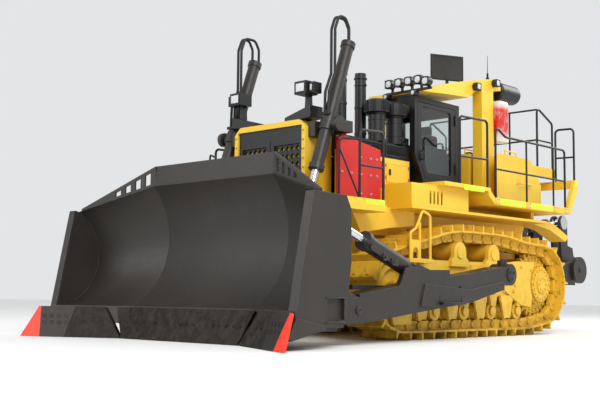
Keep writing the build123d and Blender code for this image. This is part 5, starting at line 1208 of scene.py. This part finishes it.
@dataclass
class PushArms(Assembly):
    """Step brackets and trunnion caps of the push arms, and the bosses of the tilt cylinders' guards."""

    face_y: float = 2.0
    step_x: tuple[float, float] = (0.80, 1.36)
    step_z: tuple[float, float] = (0.50, 0.76)
    step_w: float = 0.09
    leg_w: float = 0.035
    trunnion: tuple[float, float] = (-0.525, 0.95)
    guard_bosses: tuple[tuple[float, float], ...] = ((2.72, 1.155), (2.55, 1.11), (2.37, 1.055))

    def build(self) -> None:
        """Builds the push arms' fittings."""
        self.steps()
        self.bosses()
        x, z = self.trunnion
        places = self.surfaces.pair("push_arms", x, z, 2.5)
        self.hand_in(keeper(0.11).copies("trunnion_caps", places), Coat.GREY, "push_arms")

    def steps(self) -> None:
        """Step bracket on each push arm."""
        (x0, x1), (z0, z1) = self.step_x, self.step_z
        low, high = (x0, self.face_y - 0.005, z0), (x1, self.face_y + self.step_w, z0 + 0.035)
        bar = Shape.block("arm_steps", low, high)
        bar.facing(UP).inset(0.012, 0.006)
        for x in (x0, x1 - self.leg_w):
            leg = Shape.block("leg", (x, self.face_y - 0.005, z0 + 0.01), (x + self.leg_w, self.face_y + 0.03, z1))
            leg.corners(lambda place: place.z > z1 - 0.01 and place.y > self.face_y + 0.02).shift((0, -0.015, 0))
            bar.join(leg)
        self.hand_in(bar.soften(0.006).both_sides(), Coat.BLACK, "push_arms")

    def bosses(self) -> None:
        """Bolted bosses along each tilt cylinder's guard."""
        boss = Shape.rod("boss", (0, 0, -0.003), (0, 0, 0.022), 0.052, 24)
        boss.facing(UP).inset(0.012).inset(0.002, 0.006)
        boss.soften(0.003).join(hex_bolt(0.04).copies("boss_bolt", [Matrix.Translation((0, 0, 0.012))]))
        places = self.surfaces.seats("tilt_guards", [(x, FAR_OUT, z) for x, z in self.guard_bosses], -LEFT)
        self.hand_in(boss.copies("guard_bosses", places).both_sides(), Coat.GREY, "tilt_barrels")


# ---------------------------------------------------------------- hood, decks and tank
@dataclass
class Bodywork(Assembly):
    """Doors, latches, screens, bolts, treads, marker tape and tank fittings of the bodywork."""

    side_y: float = 0.8
    doors: tuple[tuple[float, float, float, float], ...] = (    # x and z spans
        (0.46, 0.98, 2.30, 2.62),
        (1.02, 1.46, 2.30, 2.62),
    )
    band_z: tuple[float, float] = (2.70, 2.88)
    screens: tuple[tuple[float, float], ...] = ((0.50, 1.02), (1.08, 1.60))
    fin_pitch: float = 0.03
    guard_bolt_y: float = 0.675
    guard_bolt_z: tuple[float, float, int] = (1.6, 0.13, 11)    # lowest bolt, pitch, bolts in a row
    case_x: float = 1.485           # rear edge of the red case
    case_flap: tuple[float, float, float] = (0.11, 2.17, 2.55)  # width, foot and top of the flap
    case_rows: tuple[tuple[float, tuple[float, ...]], ...] = (  # height of each row of bolts and their stations
        (2.55, (1.58, 1.72, 1.94)),
        (2.31, (1.58, 1.72, 1.93, 2.14, 2.34)),
        (2.04, (1.71, 1.93)),
    )
    deck_y: float = 1.6
    deck_z: float = 2.3
    rear_z: float = 2.16
    plate_x: tuple[float, ...] = (-0.805, -1.745, -2.625, -3.02)
    plate_half: float = 0.06
    plate_z: tuple[float, float] = (0.105, 0.005)   # foot and top of a post plate, under the rear deck's top
    tapes: tuple[tuple[str, float, float, float, float], ...] = (   # node, x and z spans
        ("decks", -0.44, 0.11, 2.215, 2.295),
        ("decks", -1.67, -0.88, 2.07, 2.15),
        ("decks", -2.56, -1.82, 2.07, 2.15),
        ("decks", -3.44, -3.34, 2.56, 2.65),
        ("front_steps", 1.9, 2.3, 1.85, 1.91),
    )
    step_z: float = 1.85
    stud_pitch: tuple[float, float] = (0.07, 0.06)
    stud_edge: float = 0.035        # from a strip's edge to its first stud
    filler: tuple[float, float] = (-1.75, 0.45)
    grab_x: tuple[float, float] = (-2.3, -1.9)
    grab_z: float = 2.5
    hoops: tuple[tuple[float, float, float], ...] = ((-1.6, -1.25, 0.7), (-2.05, -1.7, 1.2))    # x span and y
    hoop_r: float = 0.013
    hoop_h: float = 0.085
    louvre: tuple[float, float, float, float] = (0.44, 0.82, 1.94, 2.12)    # x and z spans of the black plate of painted shade behind the louvres

    def build(self) -> None:
        """Builds the bodywork's fittings."""
        self.side_doors()
        self.hood_band()
        self.case_bolts()
        self.guard_bolts()
        self.deck_edges()
        self.treads()
        self.tank_fittings()
        self.louvre_shade_plate()

    def side_doors(self) -> None:
        """Raised doors with latches on the engine's sides."""
        pieces = []
        for x0, x1, z0, z1 in self.doors:
            door = Shape.block("engine_doors", (x0, self.side_y - 0.004, z0), (x1, self.side_y + 0.014, z1))
            door.facing(LEFT).inset(0.035).inset(0.006, 0.005)
            pieces.append(door.soften(0.004))
        self.hand_in(joined(pieces).both_sides(), Coat.YELLOW)
        latches = []
        for x0, x1, z0, z1 in self.doors:
            latch = Shape.block("door_latches", (x1 - 0.085, self.side_y + 0.008, (z0 + z1) / 2 - 0.045),
                                (x1 - 0.045, self.side_y + 0.026, (z0 + z1) / 2 + 0.045))
            latch.facing(LEFT).inset(0.008, 0.006)
            latches.append(latch.soften(0.003))
            x, y = x0 - 0.006, self.side_y + 0.008
            for z in (z0 + 0.05, z1 - 0.09):
                latches.append(Shape.rod("hinge", (x, y, z), (x, y, z + 0.05), 0.011, 12).soften(0.002))
        self.hand_in(joined(latches).both_sides(), Coat.BLACK)

    def hood_band(self) -> None:
        """Screens of the hood's band, each a frame with standing fins."""
        z0, z1 = self.band_z
        pitch = self.fin_pitch
        for number, (x0, x1) in enumerate(self.screens):
            y = self.surfaces.side_y("engine_hood", (x0 + x1) / 2, (z0 + z1) / 2, 2.0)
            frame = Shape.block(f"hood_screens_{number}", (x0, y - 0.006, z0), (x1, y + 0.016, z1))
            frame.facing(LEFT).inset(0.02).inset(0.002, 0.016)
            low, high = (x0 + 0.03, y - 0.004, z0 + 0.015), (x0 + 0.037, y + 0.012, z1 - 0.015)
            fin = Shape.block("fin", low, high).soften(0.002)
            count = int((x1 - x0 - 2 * pitch) / pitch) + 1
            places = [Matrix.Translation((pitch * step, 0, 0)) for step in range(count)]
            frame.join(fin.copies("fins", places))
            self.hand_in(frame.both_sides(), Coat.BLACK)

    def case_bolts(self) -> None:
        """Bright bolts in rows on the red case, and the flap at its rear edge."""
        places = [self.surfaces.seat("red_case", (x, 2.0, z), -LEFT) for z, row in self.case_rows for x in row]
        self.hand_in(hex_bolt(0.034).copies("case_bolts", places), Coat.ZINC)
        y = places[0].translation.y
        wide, foot, top = self.case_flap
        flap = Shape.block("case_flap", (self.case_x - wide, y - 0.05, foot), (self.case_x + 0.003, y - 0.004, top))
        flap.facing(LEFT).inset(0.012, 0.004)
        self.hand_in(flap.soften(0.005), Coat.RED)

    def guard_bolts(self) -> None:
        """Bolts down the radiator guard's frame."""
        lowest, pitch, count = self.guard_bolt_z
        places = [self.surfaces.seat("radiator_guard", (4.0, side * self.guard_bolt_y, lowest + pitch * step), -FORWARD)
                  for side in (1, -1) for step in range(count)]
        self.hand_in(hex_bolt(0.036).copies("guard_frame_bolts", places), Coat.YELLOW)

    def deck_edges(self) -> None:
        """Post plates on the decks' outer edges, and marker tape there and on the front steps."""
        plates, bolts = [], []
        foot, top = (self.rear_z - drop for drop in self.plate_z)
        for x in self.plate_x:
            plate = Shape.block("post_plates", (x - self.plate_half, self.deck_y - 0.004, foot),
                                (x + self.plate_half, self.deck_y + 0.012, top))
            plate.facing(LEFT).inset(0.006, -0.002)
            plates.append(plate)
            bolts += [aim((x + dx, self.deck_y + 0.012, self.rear_z - 0.055 + dz), LEFT)
                      for dx in (-0.04, 0.04) for dz in (-0.03, 0.03)]
        self.hand_in(joined(plates).soften(0.003).both_sides(), Coat.YELLOW)
        self.hand_in(hex_bolt(0.026).copies("post_bolts", bolts).both_sides(), Coat.ZINC)
        tapes = []
        for node, x0, x1, z0, z1 in self.tapes:
            y = self.surfaces.side_y(node, (x0 + x1) / 2, (z0 + z1) / 2)
            tapes.append(Shape.block("deck_tapes", (x0, y - 0.002, z0), (x1, y + 0.003, z1)).soften(0.001))
        self.hand_in(joined(tapes).both_sides(), Coat.TAPE)

    def treads(self) -> None:
        """Punched grip strips on the decks and front steps."""
        strips = (                  # x and y spans, and height
            (-2.95, -0.85, 1.36, 1.56, self.rear_z),
            (-0.58, 0.56, 1.0, 1.56, self.deck_z),
            (1.9, 2.6, 0.86, 1.18, self.step_z),
        )
        along, across = self.stud_pitch
        for number, (x0, x1, y0, y1, z) in enumerate(strips):
            strip = Shape.block(f"grip_strips_{number}", (x0, y0, z - 0.002), (x1, y1, z + 0.004)).soften(0.002)
            stud = Shape.rod("stud", (0, 0, 0), (0, 0, 0.007), 0.014, 8)
            stud.facing(UP).inset(0.006, 0.003)
            places = []
            for i in range(int((x1 - x0) / along)):
                for j in range(int((y1 - y0) / across)):
                    x, y = x0 + self.stud_edge + along * i, y0 + self.stud_edge + across * j
                    places.append(Matrix.Translation((x, y, z + 0.003)))
            strip.join(stud.copies("studs", places))
            self.hand_in(strip.both_sides(), Coat.BLACK)

    def tank_fittings(self) -> None:
        """Filler, grab handles and lifting hoops of the fuel tank."""
        point, _ = self.surfaces.touch("fuel_tank", (*self.filler, FAR_OFF), -UP)
        neck = Shape.rod("filler", point - 0.01 * UP, point + 0.07 * UP, 0.09, 28)
        neck.facing(UP).inset(0.015).extrude((0, 0, 0.035))
        self.hand_in(neck.soften(0.006), Coat.BLACK)
        y = self.surfaces.side_y("fuel_tank", -2.1, 2.6)
        (x0, x1), z = self.grab_x, self.grab_z
        grab = Shape.rod("tank_handle", (x0, y + 0.06, z), (x1, y + 0.06, z), 0.014, 12)
        feet = [Shape.rod("foot", (x, y - 0.005, z), (x, y + 0.07, z), 0.014, 12).soften(0.003)
                for x in (x0 + 0.01, x1 - 0.01)]
        self.hand_in(grab.soften(0.003).join(*feet).both_sides(), Coat.YELLOW)
        hoops = []
        r = self.hoop_r
        for x0, x1, y in self.hoops:
            feet = [(x, self.surfaces.top_z("fuel_tank", x, y)) for x in (x0, x1)]
            top = max(z for _, z in feet) + self.hoop_h
            hoops.append(Shape.rod("tank_hoops", (x0 - r, y, top), (x1 + r, y, top), r, 12).soften(0.003))
            hoops += [Shape.rod("leg", (x, y, z - 0.005), (x, y, top), r, 12).soften(0.003) for x, z in feet]
        self.hand_in(joined(hoops).both_sides(), Coat.YELLOW)

    def louvre_shade_plate(self) -> None:
        """Black plate just behind the louvres of each fender's box: a dark sheet that paints the shade of the box's
        inside.
        """
        x0, x1, z0, z1 = self.louvre
        y = self.surfaces.side_y("fenders", x0 - 0.04, (z0 + z1) / 2)
        shade_plate = Shape.block("louvre_shade_plate", (x0, y - 0.022, z0), (x1, y - 0.016, z1))
        shade_plate.facing(LEFT).inset(0.01, 0.001)
        self.hand_in(shade_plate.both_sides(), Coat.BLACK)


# ---------------------------------------------------------------- cab
@dataclass
class Cab(Assembly):
    """Wiper, door handles, seat and controls of the cab."""

    span_y: tuple[float, float] = (-0.3, 0.9)
    wiper_foot: tuple[float, float] = (0.55, 2.96)      # y and z
    wiper_tip: tuple[float, float] = (0.28, 3.38)
    latch_z: float = 2.78
    lever_x: float = -0.155

    def build(self) -> None:
        """Builds the cab's fittings."""
        self.wiper()
        self.door_handles()
        self.seat()
        self.controls()

    def wiper(self) -> None:
        """Wiper of the front window, on its boss."""
        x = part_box("cab_glass")[1].x
        arm = Shape.rod("front_wiper", (x + 0.02, *self.wiper_foot), (x + 0.02, *self.wiper_tip), 0.008, 10)
        arm.soften(0.002)
        blade = Shape.block("blade", (x + 0.004, 0.1, 3.36), (x + 0.018, 0.62, 3.385)).soften(0.003)
        boss = Shape.rod("boss", (x - 0.004, *self.wiper_foot), (x + 0.035, *self.wiper_foot), 0.026, 16).soften(0.004)
        self.hand_in(arm.join(blade, boss), Coat.BLACK)

    def door_handles(self) -> None:
        """Latch handle and grab bar on each cab door."""
        middle = (self.span_y[0] + self.span_y[1]) / 2
        z = self.latch_z
        for body, side in (("cab_door_left", 1), ("cab_door_right", -1)):
            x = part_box(body)[1].x - 0.075
            y = self.surfaces.touch(body, (x, middle + side * 3, z), (0, -side, 0))[0].y
            plate = Shape.block(f"{body}_latch", (x - 0.025, y - 0.004, 2.72), (x + 0.025, y + 0.004, 2.84))
            plate.facing((0, side, 0)).inset(0.006).extrude((0, side * 0.012, 0))
            out = y + side * 0.045
            grip = Shape.rod("grip", (x, out, 2.70), (x, out, 2.86), 0.011, 12).soften(0.003)
            arms = [Shape.rod("arm", (x, y - side * 0.003, foot), (x, y + side * 0.05, foot), 0.009, 10).soften(0.002)
                    for foot in (2.715, 2.845)]
            self.hand_in(plate.soften(0.003).join(grip, *arms), Coat.BLACK, body)

    def cushion(self, name: str, low: Point, high: Point, crown: Point) -> Shape:
        """Models a padded cushion that bulges between its corners, with a sewn channel.

        Args:
            name: The piece's name.
            low: Its lowest corner.
            high: Its highest corner.
            crown: Direction that its face looks.

        Returns:
            The shape.
        """
        pad = Shape.block(name, low, high)
        middle = (Vector(low) + Vector(high)) / 2
        pad.faces(lambda place, normal: True).divide(3)
        pad.facing(crown, 0.5).inset(0.03).shift(0.02 * Vector(crown))
        pad.inset(0.05, 0.012).resize((0.96, 0.96, 0.96), middle)
        return pad.smooth(2)

    def seat(self) -> None:
        """Operator's seat: cushion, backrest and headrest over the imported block."""
        low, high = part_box("operator_seat")
        mid = (low.y + high.y) / 2
        base = self.cushion("seat_cushion", (low.x + 0.11, mid - 0.24, low.z + 0.27),
                            (high.x - 0.01, mid + 0.24, low.z + 0.385), UP)
        back = self.cushion("seat_back", (low.x + 0.005, mid - 0.23, low.z + 0.38),
                            (low.x + 0.125, mid + 0.23, high.z - 0.17), FORWARD)
        rest = self.cushion("headrest", (low.x + 0.02, mid - 0.13, high.z - 0.16),
                            (low.x + 0.11, mid + 0.13, high.z - 0.01), FORWARD)
        for pad in (base, back, rest):
            self.hand_in(pad, Coat.CLOTH, angle=80.0)
        pedestal = Shape.block("seat_pedestal", (low.x + 0.17, mid - 0.17, low.z),
                               (high.x - 0.07, mid + 0.17, low.z + 0.268))
        pedestal.facing(LEFT).inset(0.03, 0.008)
        pedestal.facing(-LEFT).inset(0.03, 0.008)
        self.hand_in(pedestal.soften(0.012), Coat.PLASTIC)
        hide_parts("operator_seat")

    def controls(self) -> None:
        """Steering lever and blade lever, each in its gaiter."""
        low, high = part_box("operator_console")
        levers = []
        x = self.lever_x
        for y in (low.y + 0.08, high.y - 0.08):
            z = self.surfaces.touch("operator_console", (x, y, 5.0), -UP)[0].z
            stem = Shape.rod("control_levers", (x, y, z - 0.005), (x + 0.02, y, z + 0.13), 0.012, 12)
            knob = Shape.rod("knob", (x + 0.015, y, z + 0.1), (x + 0.035, y, z + 0.21), 0.026, 16).soften(0.01, 3)
            gaiter = Shape.rod("gaiter", (x, y, z - 0.004), (x, y, z + 0.05), 0.05, 20)
            gaiter.facing(UP).resize((0.45, 0.45, 1.0), (x, y, z + 0.05))
            levers += [stem.soften(0.002), knob, gaiter.soften(0.004)]
        self.hand_in(joined(levers), Coat.PLASTIC)


# ---------------------------------------------------------------- lamps, stacks and roof fittings
@dataclass
class Lamps(Assembly):
    """Housings, bezels and ribbed lenses of the working lamps."""

    roof: tuple[tuple[float, float, float], ...] = (    # y, z and lens radius
        (0.49, 3.9025, 0.05),
        (0.68, 3.9025, 0.05),
        (0.87, 3.9025, 0.05),
        (1.05, 3.9025, 0.05),
        (1.19, 3.8625, 0.05),
        (0.43, 3.7125, 0.033),
        (0.96, 3.7125, 0.033),
    )
    side: tuple[tuple[float, float], ...] = ((-1.005, 4.03), (-1.585, 4.18))
    side_r: float = 0.045
    square_from: float = 0.045      # radius from which a lamp has a square housing
    housing_wall: float = 0.014
    housing_deep: float = 0.07
    cell_half: float = 0.012        # half of one cell of a square lamp's lens
    cell_pitch: float = 0.029
    nose: tuple[tuple[float, float, float, float], ...] = (     # y, z, width and height
        (0.66, 3.48, 0.19, 0.15),
        (0.8125, 3.475, 0.07, 0.12),
    )

    def build(self) -> None:
        """Builds the lamps' fittings."""
        lenses, bezels = [], []
        for y, z, radius in self.roof:
            self.round_lamp(self.surfaces.seat("lamps", (3.0, y, z), -FORWARD), radius, lenses, bezels)
        for side in (1, -1):
            for x, z in self.side:
                place = self.surfaces.seat("lamps", (x, side * FAR_OUT, z), (0, -side, 0))
                self.round_lamp(place, self.side_r, lenses, bezels)
            for y, z, width, height in self.nose:
                self.square_lamp((4.0, side * y, z), width / 2, height / 2, lenses, bezels)
        joined(lenses).obj.name = "lamp_lenses"
        joined(bezels).obj.name = "lamp_bezels"
        self.hand_in(lenses[0], Coat.LENS)
        self.hand_in(bezels[0], Coat.PLASTIC)

    def round_lamp(self, place: Matrix, radius: float, lenses: list[Shape], bezels: list[Shape]) -> None:
        """Adds one small lamp's lens and bezel at a place that looks out of its face, square if it is large enough.

        Args:
            place: Middle of the lamp's face.
            radius: Of the lens.
            lenses: Lenses made so far.
            bezels: Bezels made so far.
        """
        lens = Shape.rod("lens", (0, 0, -0.002), (0, 0, 0.004), radius, 28)
        lens.facing(UP).inset(0.3 * radius, -0.003).inset(0.3 * radius, -0.002)
        lenses.append(lens.copies("lens", [place]))
        if radius < self.square_from:
            bezels.append(Shape.ring("bezel", (0, 0, 0.002), UP, radius + 0.006, 0.008).copies("bezel", [place]))
            return
        wide = radius + self.housing_wall
        hood = Shape.block("bezel", (-wide, -wide, -self.housing_deep), (wide, wide, 0.012))
        hood.facing(UP).inset(0.01).inset(0.002, 0.009)
        bezels.append(hood.soften(0.004).copies("bezel", [place]))
        half, pitch = self.cell_half, self.cell_pitch
        cell = Shape.block("lens", (-half, -half, 0.0), (half, half, 0.006))
        cell.facing(UP).inset(0.003, -0.002)
        spots = [place @ Matrix.Translation((pitch * i, pitch * j, 0)) for i in (-1, 0, 1) for j in (-1, 0, 1)]
        lenses.append(cell.copies("lens", spots))

    def square_lamp(self, start: Point, half_y: float, half_z: float, lenses: list[Shape], bezels: list[Shape]) -> None:
        """Adds one square lamp's lens and bezel on the lamp block that a line meets.

        Args:
            start: A point ahead of the lamp's middle.
            half_y: Half its width.
            half_z: Half its height.
            lenses: Lenses made so far.
            bezels: Bezels made so far.
        """
        point, _ = self.surfaces.touch("lamps", start, -FORWARD)
        low, high = point - Vector((0.004, half_y, half_z)), point + Vector((0.01, half_y, half_z))
        bezel = Shape.block("bezel", low, high)
        bezel.facing(FORWARD).inset(0.014).inset(0.002, 0.006)
        bezels.append(bezel.soften(0.003))
        rim = Vector((0, 0.018, 0.018))
        lens = Shape.block("lens", low + rim + Vector((0.006, 0, 0)), high - rim - Vector((0.003, 0, 0)))
        lens.facing(FORWARD).inset(0.012, -0.002)
        lenses.append(lens.soften(0.002))


@dataclass
class Topside(Assembly):
    """Bands of the stacks, bands and vanes of the pre-cleaners, the board's rims and the aerial."""

    stacks: tuple[float, ...] = (1.055, 1.515)
    stack_y: float = 0.35
    stack_r: float = 0.087
    stack_bands: tuple[float, ...] = (3.05, 3.45, 3.8)
    band_h: float = 0.035
    cleaners: tuple[float, ...] = (1.045, 0.61)
    cleaner_y: float = 0.66
    cleaner_bands: tuple[float, ...] = (3.04, 3.24)
    vane_z: float = 3.378
    vanes: int = 30
    board_along: tuple[float, float] = (-0.897, 0.442)  # direction of the board's foot
    board_middle: tuple[float, float, float] = (-1.325, 0.3, 4.52)
    board_half: tuple[float, float] = (0.305, 0.214)
    aerial: tuple[float, float] = (-1.72, 0.86)
    aerial_top: float = 4.72

    def build(self) -> None:
        """Builds the fittings above the hood and canopy."""
        bands = []
        for x in self.stacks:
            for z in self.stack_bands:
                top = z + self.band_h
                band = Shape.rod("stack_bands", (x, self.stack_y, z), (x, self.stack_y, top), self.stack_r + 0.006, 32)
                bands.append(band.soften(0.003))
                y = self.stack_y + self.stack_r
                bands.append(Shape.block("lug", (x - 0.012, y, z), (x + 0.012, y + 0.03, top)).soften(0.004))
        for x in self.cleaners:
            y = self.cleaner_y
            for z in self.cleaner_bands:
                bands.append(Shape.rod("band", (x, y, z), (x, y, z + 0.02), 0.131, 36).soften(0.003))
            vane = Shape.block("vane", (0.186, -0.004, 0), (0.198, 0.004, 0.14)).soften(0.002)
            middle = Matrix.Translation((x, y, self.vane_z))
            places = [middle @ Matrix.Rotation(2 * pi * n / self.vanes, 4, "Z") for n in range(self.vanes)]
            bands.append(vane.copies("vanes", places))
        self.hand_in(joined(bands), Coat.BLACK)
        self.board_frame()
        self.aerials()

    def board_frame(self) -> None:
        """Raised rim round each face of the blank number board."""
        spine = Vector((*self.board_along, 0.0)).normalized()
        out = spine.cross(UP).normalized()
        middle = Vector(self.board_middle)
        half_x, half_y = self.board_half
        for number, way in enumerate((out, -out)):
            name = f"board_rim_{number}"
            point, _ = self.surfaces.touch("number_board", middle + way, -way)
            rim = Shape.block(name, (-half_x, -half_y, -0.004), (half_x, half_y, 0.012))
            rim.facing(UP).inset(0.02).inset(0.003, 0.01)
            turn = Matrix((tuple(spine), tuple(UP), tuple(spine.cross(UP)))).transposed().to_4x4()
            if way.dot(spine.cross(UP)) < 0:
                turn = turn @ Matrix.Rotation(pi, 4, "Y")
            self.hand_in(rim.soften(0.003).copies(name, [Matrix.Translation(point) @ turn]), Coat.PLASTIC)

    def aerials(self) -> None:
        """Whip aerial behind the canopy, on its spring base."""
        x, y = self.aerial
        foot = self.surfaces.top_z("rops_canopy", x, y)
        whip = Shape.rod("aerial", (x, y, foot - 0.01), (x, y, self.aerial_top), 0.007, 10)
        whip.facing(UP).resize((0.5, 0.5, 1), (x, y, self.aerial_top))
        base = Shape.rod("base", (x, y, foot - 0.005), (x, y, foot + 0.05), 0.03, 20).soften(0.006)
        coils = [Shape.ring("coil", (x, y, foot + 0.06 + 0.012 * n), UP, 0.013, 0.005, 16) for n in range(6)]
        self.hand_in(whip.soften(0.001).join(base, *coils), Coat.RUBBER)


# ---------------------------------------------------------------- ripper
@dataclass
class Ripper(Assembly):
    """Pin keepers of the ripper."""

    def build(self) -> None:
        """Builds the ripper's fittings."""
        for node, name, (x, z), radius in (     # node, piece, its pin, radius of the plate
            ("ripper_mount", "ripper_foot_keepers", (-3.375, 0.95), 0.06),
            ("ripper_pins", "ripper_end_keepers", (-4.745, 1.13), 0.05),
        ):
            places = []
            for side in (1, -1):
                places += self.surfaces.seats(node, [(x, side * 2.0, z)], (0, -side, 0))
            self.hand_in(keeper(radius).copies(name, places), Coat.GREY, self.surfaces.body(node))


# ---------------------------------------------------------------- studio
@dataclass
class Studio:
    """Floor, soft lights and camera round the machine."""

    floor_half: float = 60.0
    floor_gap: float = 0.002        # under the lowest of the machine
    surround: float = 0.85          # strength of the pale surround
    aim_z: float = 1.6              # height that the lights look at
    lamps: tuple[tuple[str, tuple[float, float, float], float, float], ...] = (     # name, place, size and watts
        ("key", (9.0, 14.0, 13.0), 7.0, 2100.0),
        ("fill", (17.0, -6.0, 8.0), 9.0, 700.0),
        ("rim", (-13.0, 5.0, 12.0), 8.0, 1200.0),
    )
    camera_at: tuple[float, float, float] = (12.608, 9.952, 0.618)
    yaw: float = 0.754
    pitch: float = 0.095
    roll: float = 0.01
    lens_mm: float = 59.56

    def build(self) -> None:
        """Sets up the studio."""
        self.floor()
        self.lights()
        self.camera()

    def floor(self) -> None:
        """Lays a plain pale floor."""
        free_hands()
        bpy.ops.mesh.primitive_plane_add(size=2 * self.floor_half, location=(0, 0, -self.floor_gap))
        floor = bpy.context.object
        floor.name = "studio_floor"
        bpy.ops.object.transform_apply(location=True)
        material, shader = blank("studio_paint", Roughness=0.85)
        shader.inputs["Base Color"].default_value = linear("EDEDEB")
        floor.data.materials.append(material)

    def lights(self) -> None:
        """Hangs three soft lights and a pale surround."""
        world = bpy.data.worlds.new("studio_surround")
        world.use_nodes = True
        background = next(node for node in world.node_tree.nodes if node.type == "BACKGROUND")
        background.inputs["Color"].default_value = linear("F4F6F8")
        background.inputs["Strength"].default_value = self.surround
        bpy.context.scene.world = world
        for name, at, size, power in self.lamps:
            free_hands()
            bpy.ops.object.light_add(type="AREA", location=at)
            light = bpy.context.object
            light.name = f"{name}_light"
            light.data.size, light.data.energy = size, power
            light.rotation_euler = (Vector((0, 0, self.aim_z)) - Vector(at)).to_track_quat("-Z", "Y").to_euler()

    def camera(self) -> None:
        """Puts the camera low ahead of the machine's left front corner."""
        ahead = Vector((-cos(self.yaw) * cos(self.pitch), -sin(self.yaw) * cos(self.pitch), sin(self.pitch)))
        right = Vector((-sin(self.yaw), cos(self.yaw), 0.0))
        up = right.cross(ahead)
        right_rolled = right * cos(self.roll) + up * sin(self.roll)
        up_rolled = up * cos(self.roll) - right * sin(self.roll)
        turn = Matrix((right_rolled, up_rolled, -ahead)).transposed()
        free_hands()
        bpy.ops.object.camera_add(location=self.camera_at, rotation=turn.to_euler())
        camera = bpy.context.object
        camera.data.lens = self.lens_mm
        camera.data.sensor_width = 36.0
        camera.data.clip_end = 300.0
        bpy.context.scene.camera = camera


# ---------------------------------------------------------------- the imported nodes' coats
NODE_COATS = {
    Coat.CRAWLER: ("track_left", "track_right"),
    Coat.UNDERCARRIAGE: ("track_frame_left", "track_frame_right", "track_rollers", "idlers", "final_drives",
                         "main_frame"),
    Coat.GREY: ("moldboard", "spill_guard", "push_arms", "tilt_barrels", "tilt_guards", "lift_barrels", "ripper_mount",
                "ripper_arm", "ripper_beam", "ripper_pins", "ripper_lift_barrels", "ripper_tilt_barrels", "lift_yokes"),
    Coat.BLACK: ("engine_hood", "radiator_grille", "nose_shrouds", "cab_shell", "cab_door_left", "cab_door_right",
                 "handrails", "exhaust_stacks", "precleaners", "lamps", "number_board", "pressure_unit"),
    Coat.RED: ("red_case",),
    Coat.BOTTLE: ("extinguisher",),
    Coat.STEEL: ("cutting_edges", "ripper_shank", "engine_block"),
    Coat.BIT: ("end_bits",),
    Coat.CHROME: ("lift_rods", "tilt_rods", "ripper_lift_rods", "ripper_tilt_rods"),
    Coat.GLASS: ("cab_glass", "door_glass_left", "door_glass_right"),
    Coat.RUBBER: ("lift_hoses",),
    Coat.PLASTIC: ("operator_console",),
    Coat.CLOTH: ("operator_seat",),
}


def paint_nodes(nodes: dict[str, bpy.types.Object], coats: dict[Coat, bpy.types.Material]) -> None:
    """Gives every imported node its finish; what no list names is yellow.

    Args:
        nodes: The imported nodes.
        coats: The finishes' materials.
    """
    chosen = {name: coat for coat, names in NODE_COATS.items() for name in names}
    for name, node in nodes.items():
        coat = chosen.get(name, Coat.YELLOW)
        node.data.materials.clear()
        node.data.materials.append(coats[coat])
        LOG.info("%s: %s", name, coat.name)


def main() -> None:
    """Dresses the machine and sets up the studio."""
    logging.basicConfig(level=logging.INFO, format="%(message)s")
    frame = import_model()
    bpy.context.scene.view_settings.view_transform = "Standard"
    coats = {coat: finish.build() for coat, finish in FINISHES.items()}
    paint_nodes(frame["nodes"], coats)
    surfaces = Surfaces(frame["nodes"])
    for assembly in (Crawlers, Blade, PushArms, Bodywork, Cab, Lamps, Topside, Ripper):
        assembly(surfaces, coats).build()
        LOG.info("%s is dressed", assembly.__name__)
    Studio().build()


if __name__ == "__main__":
    main()
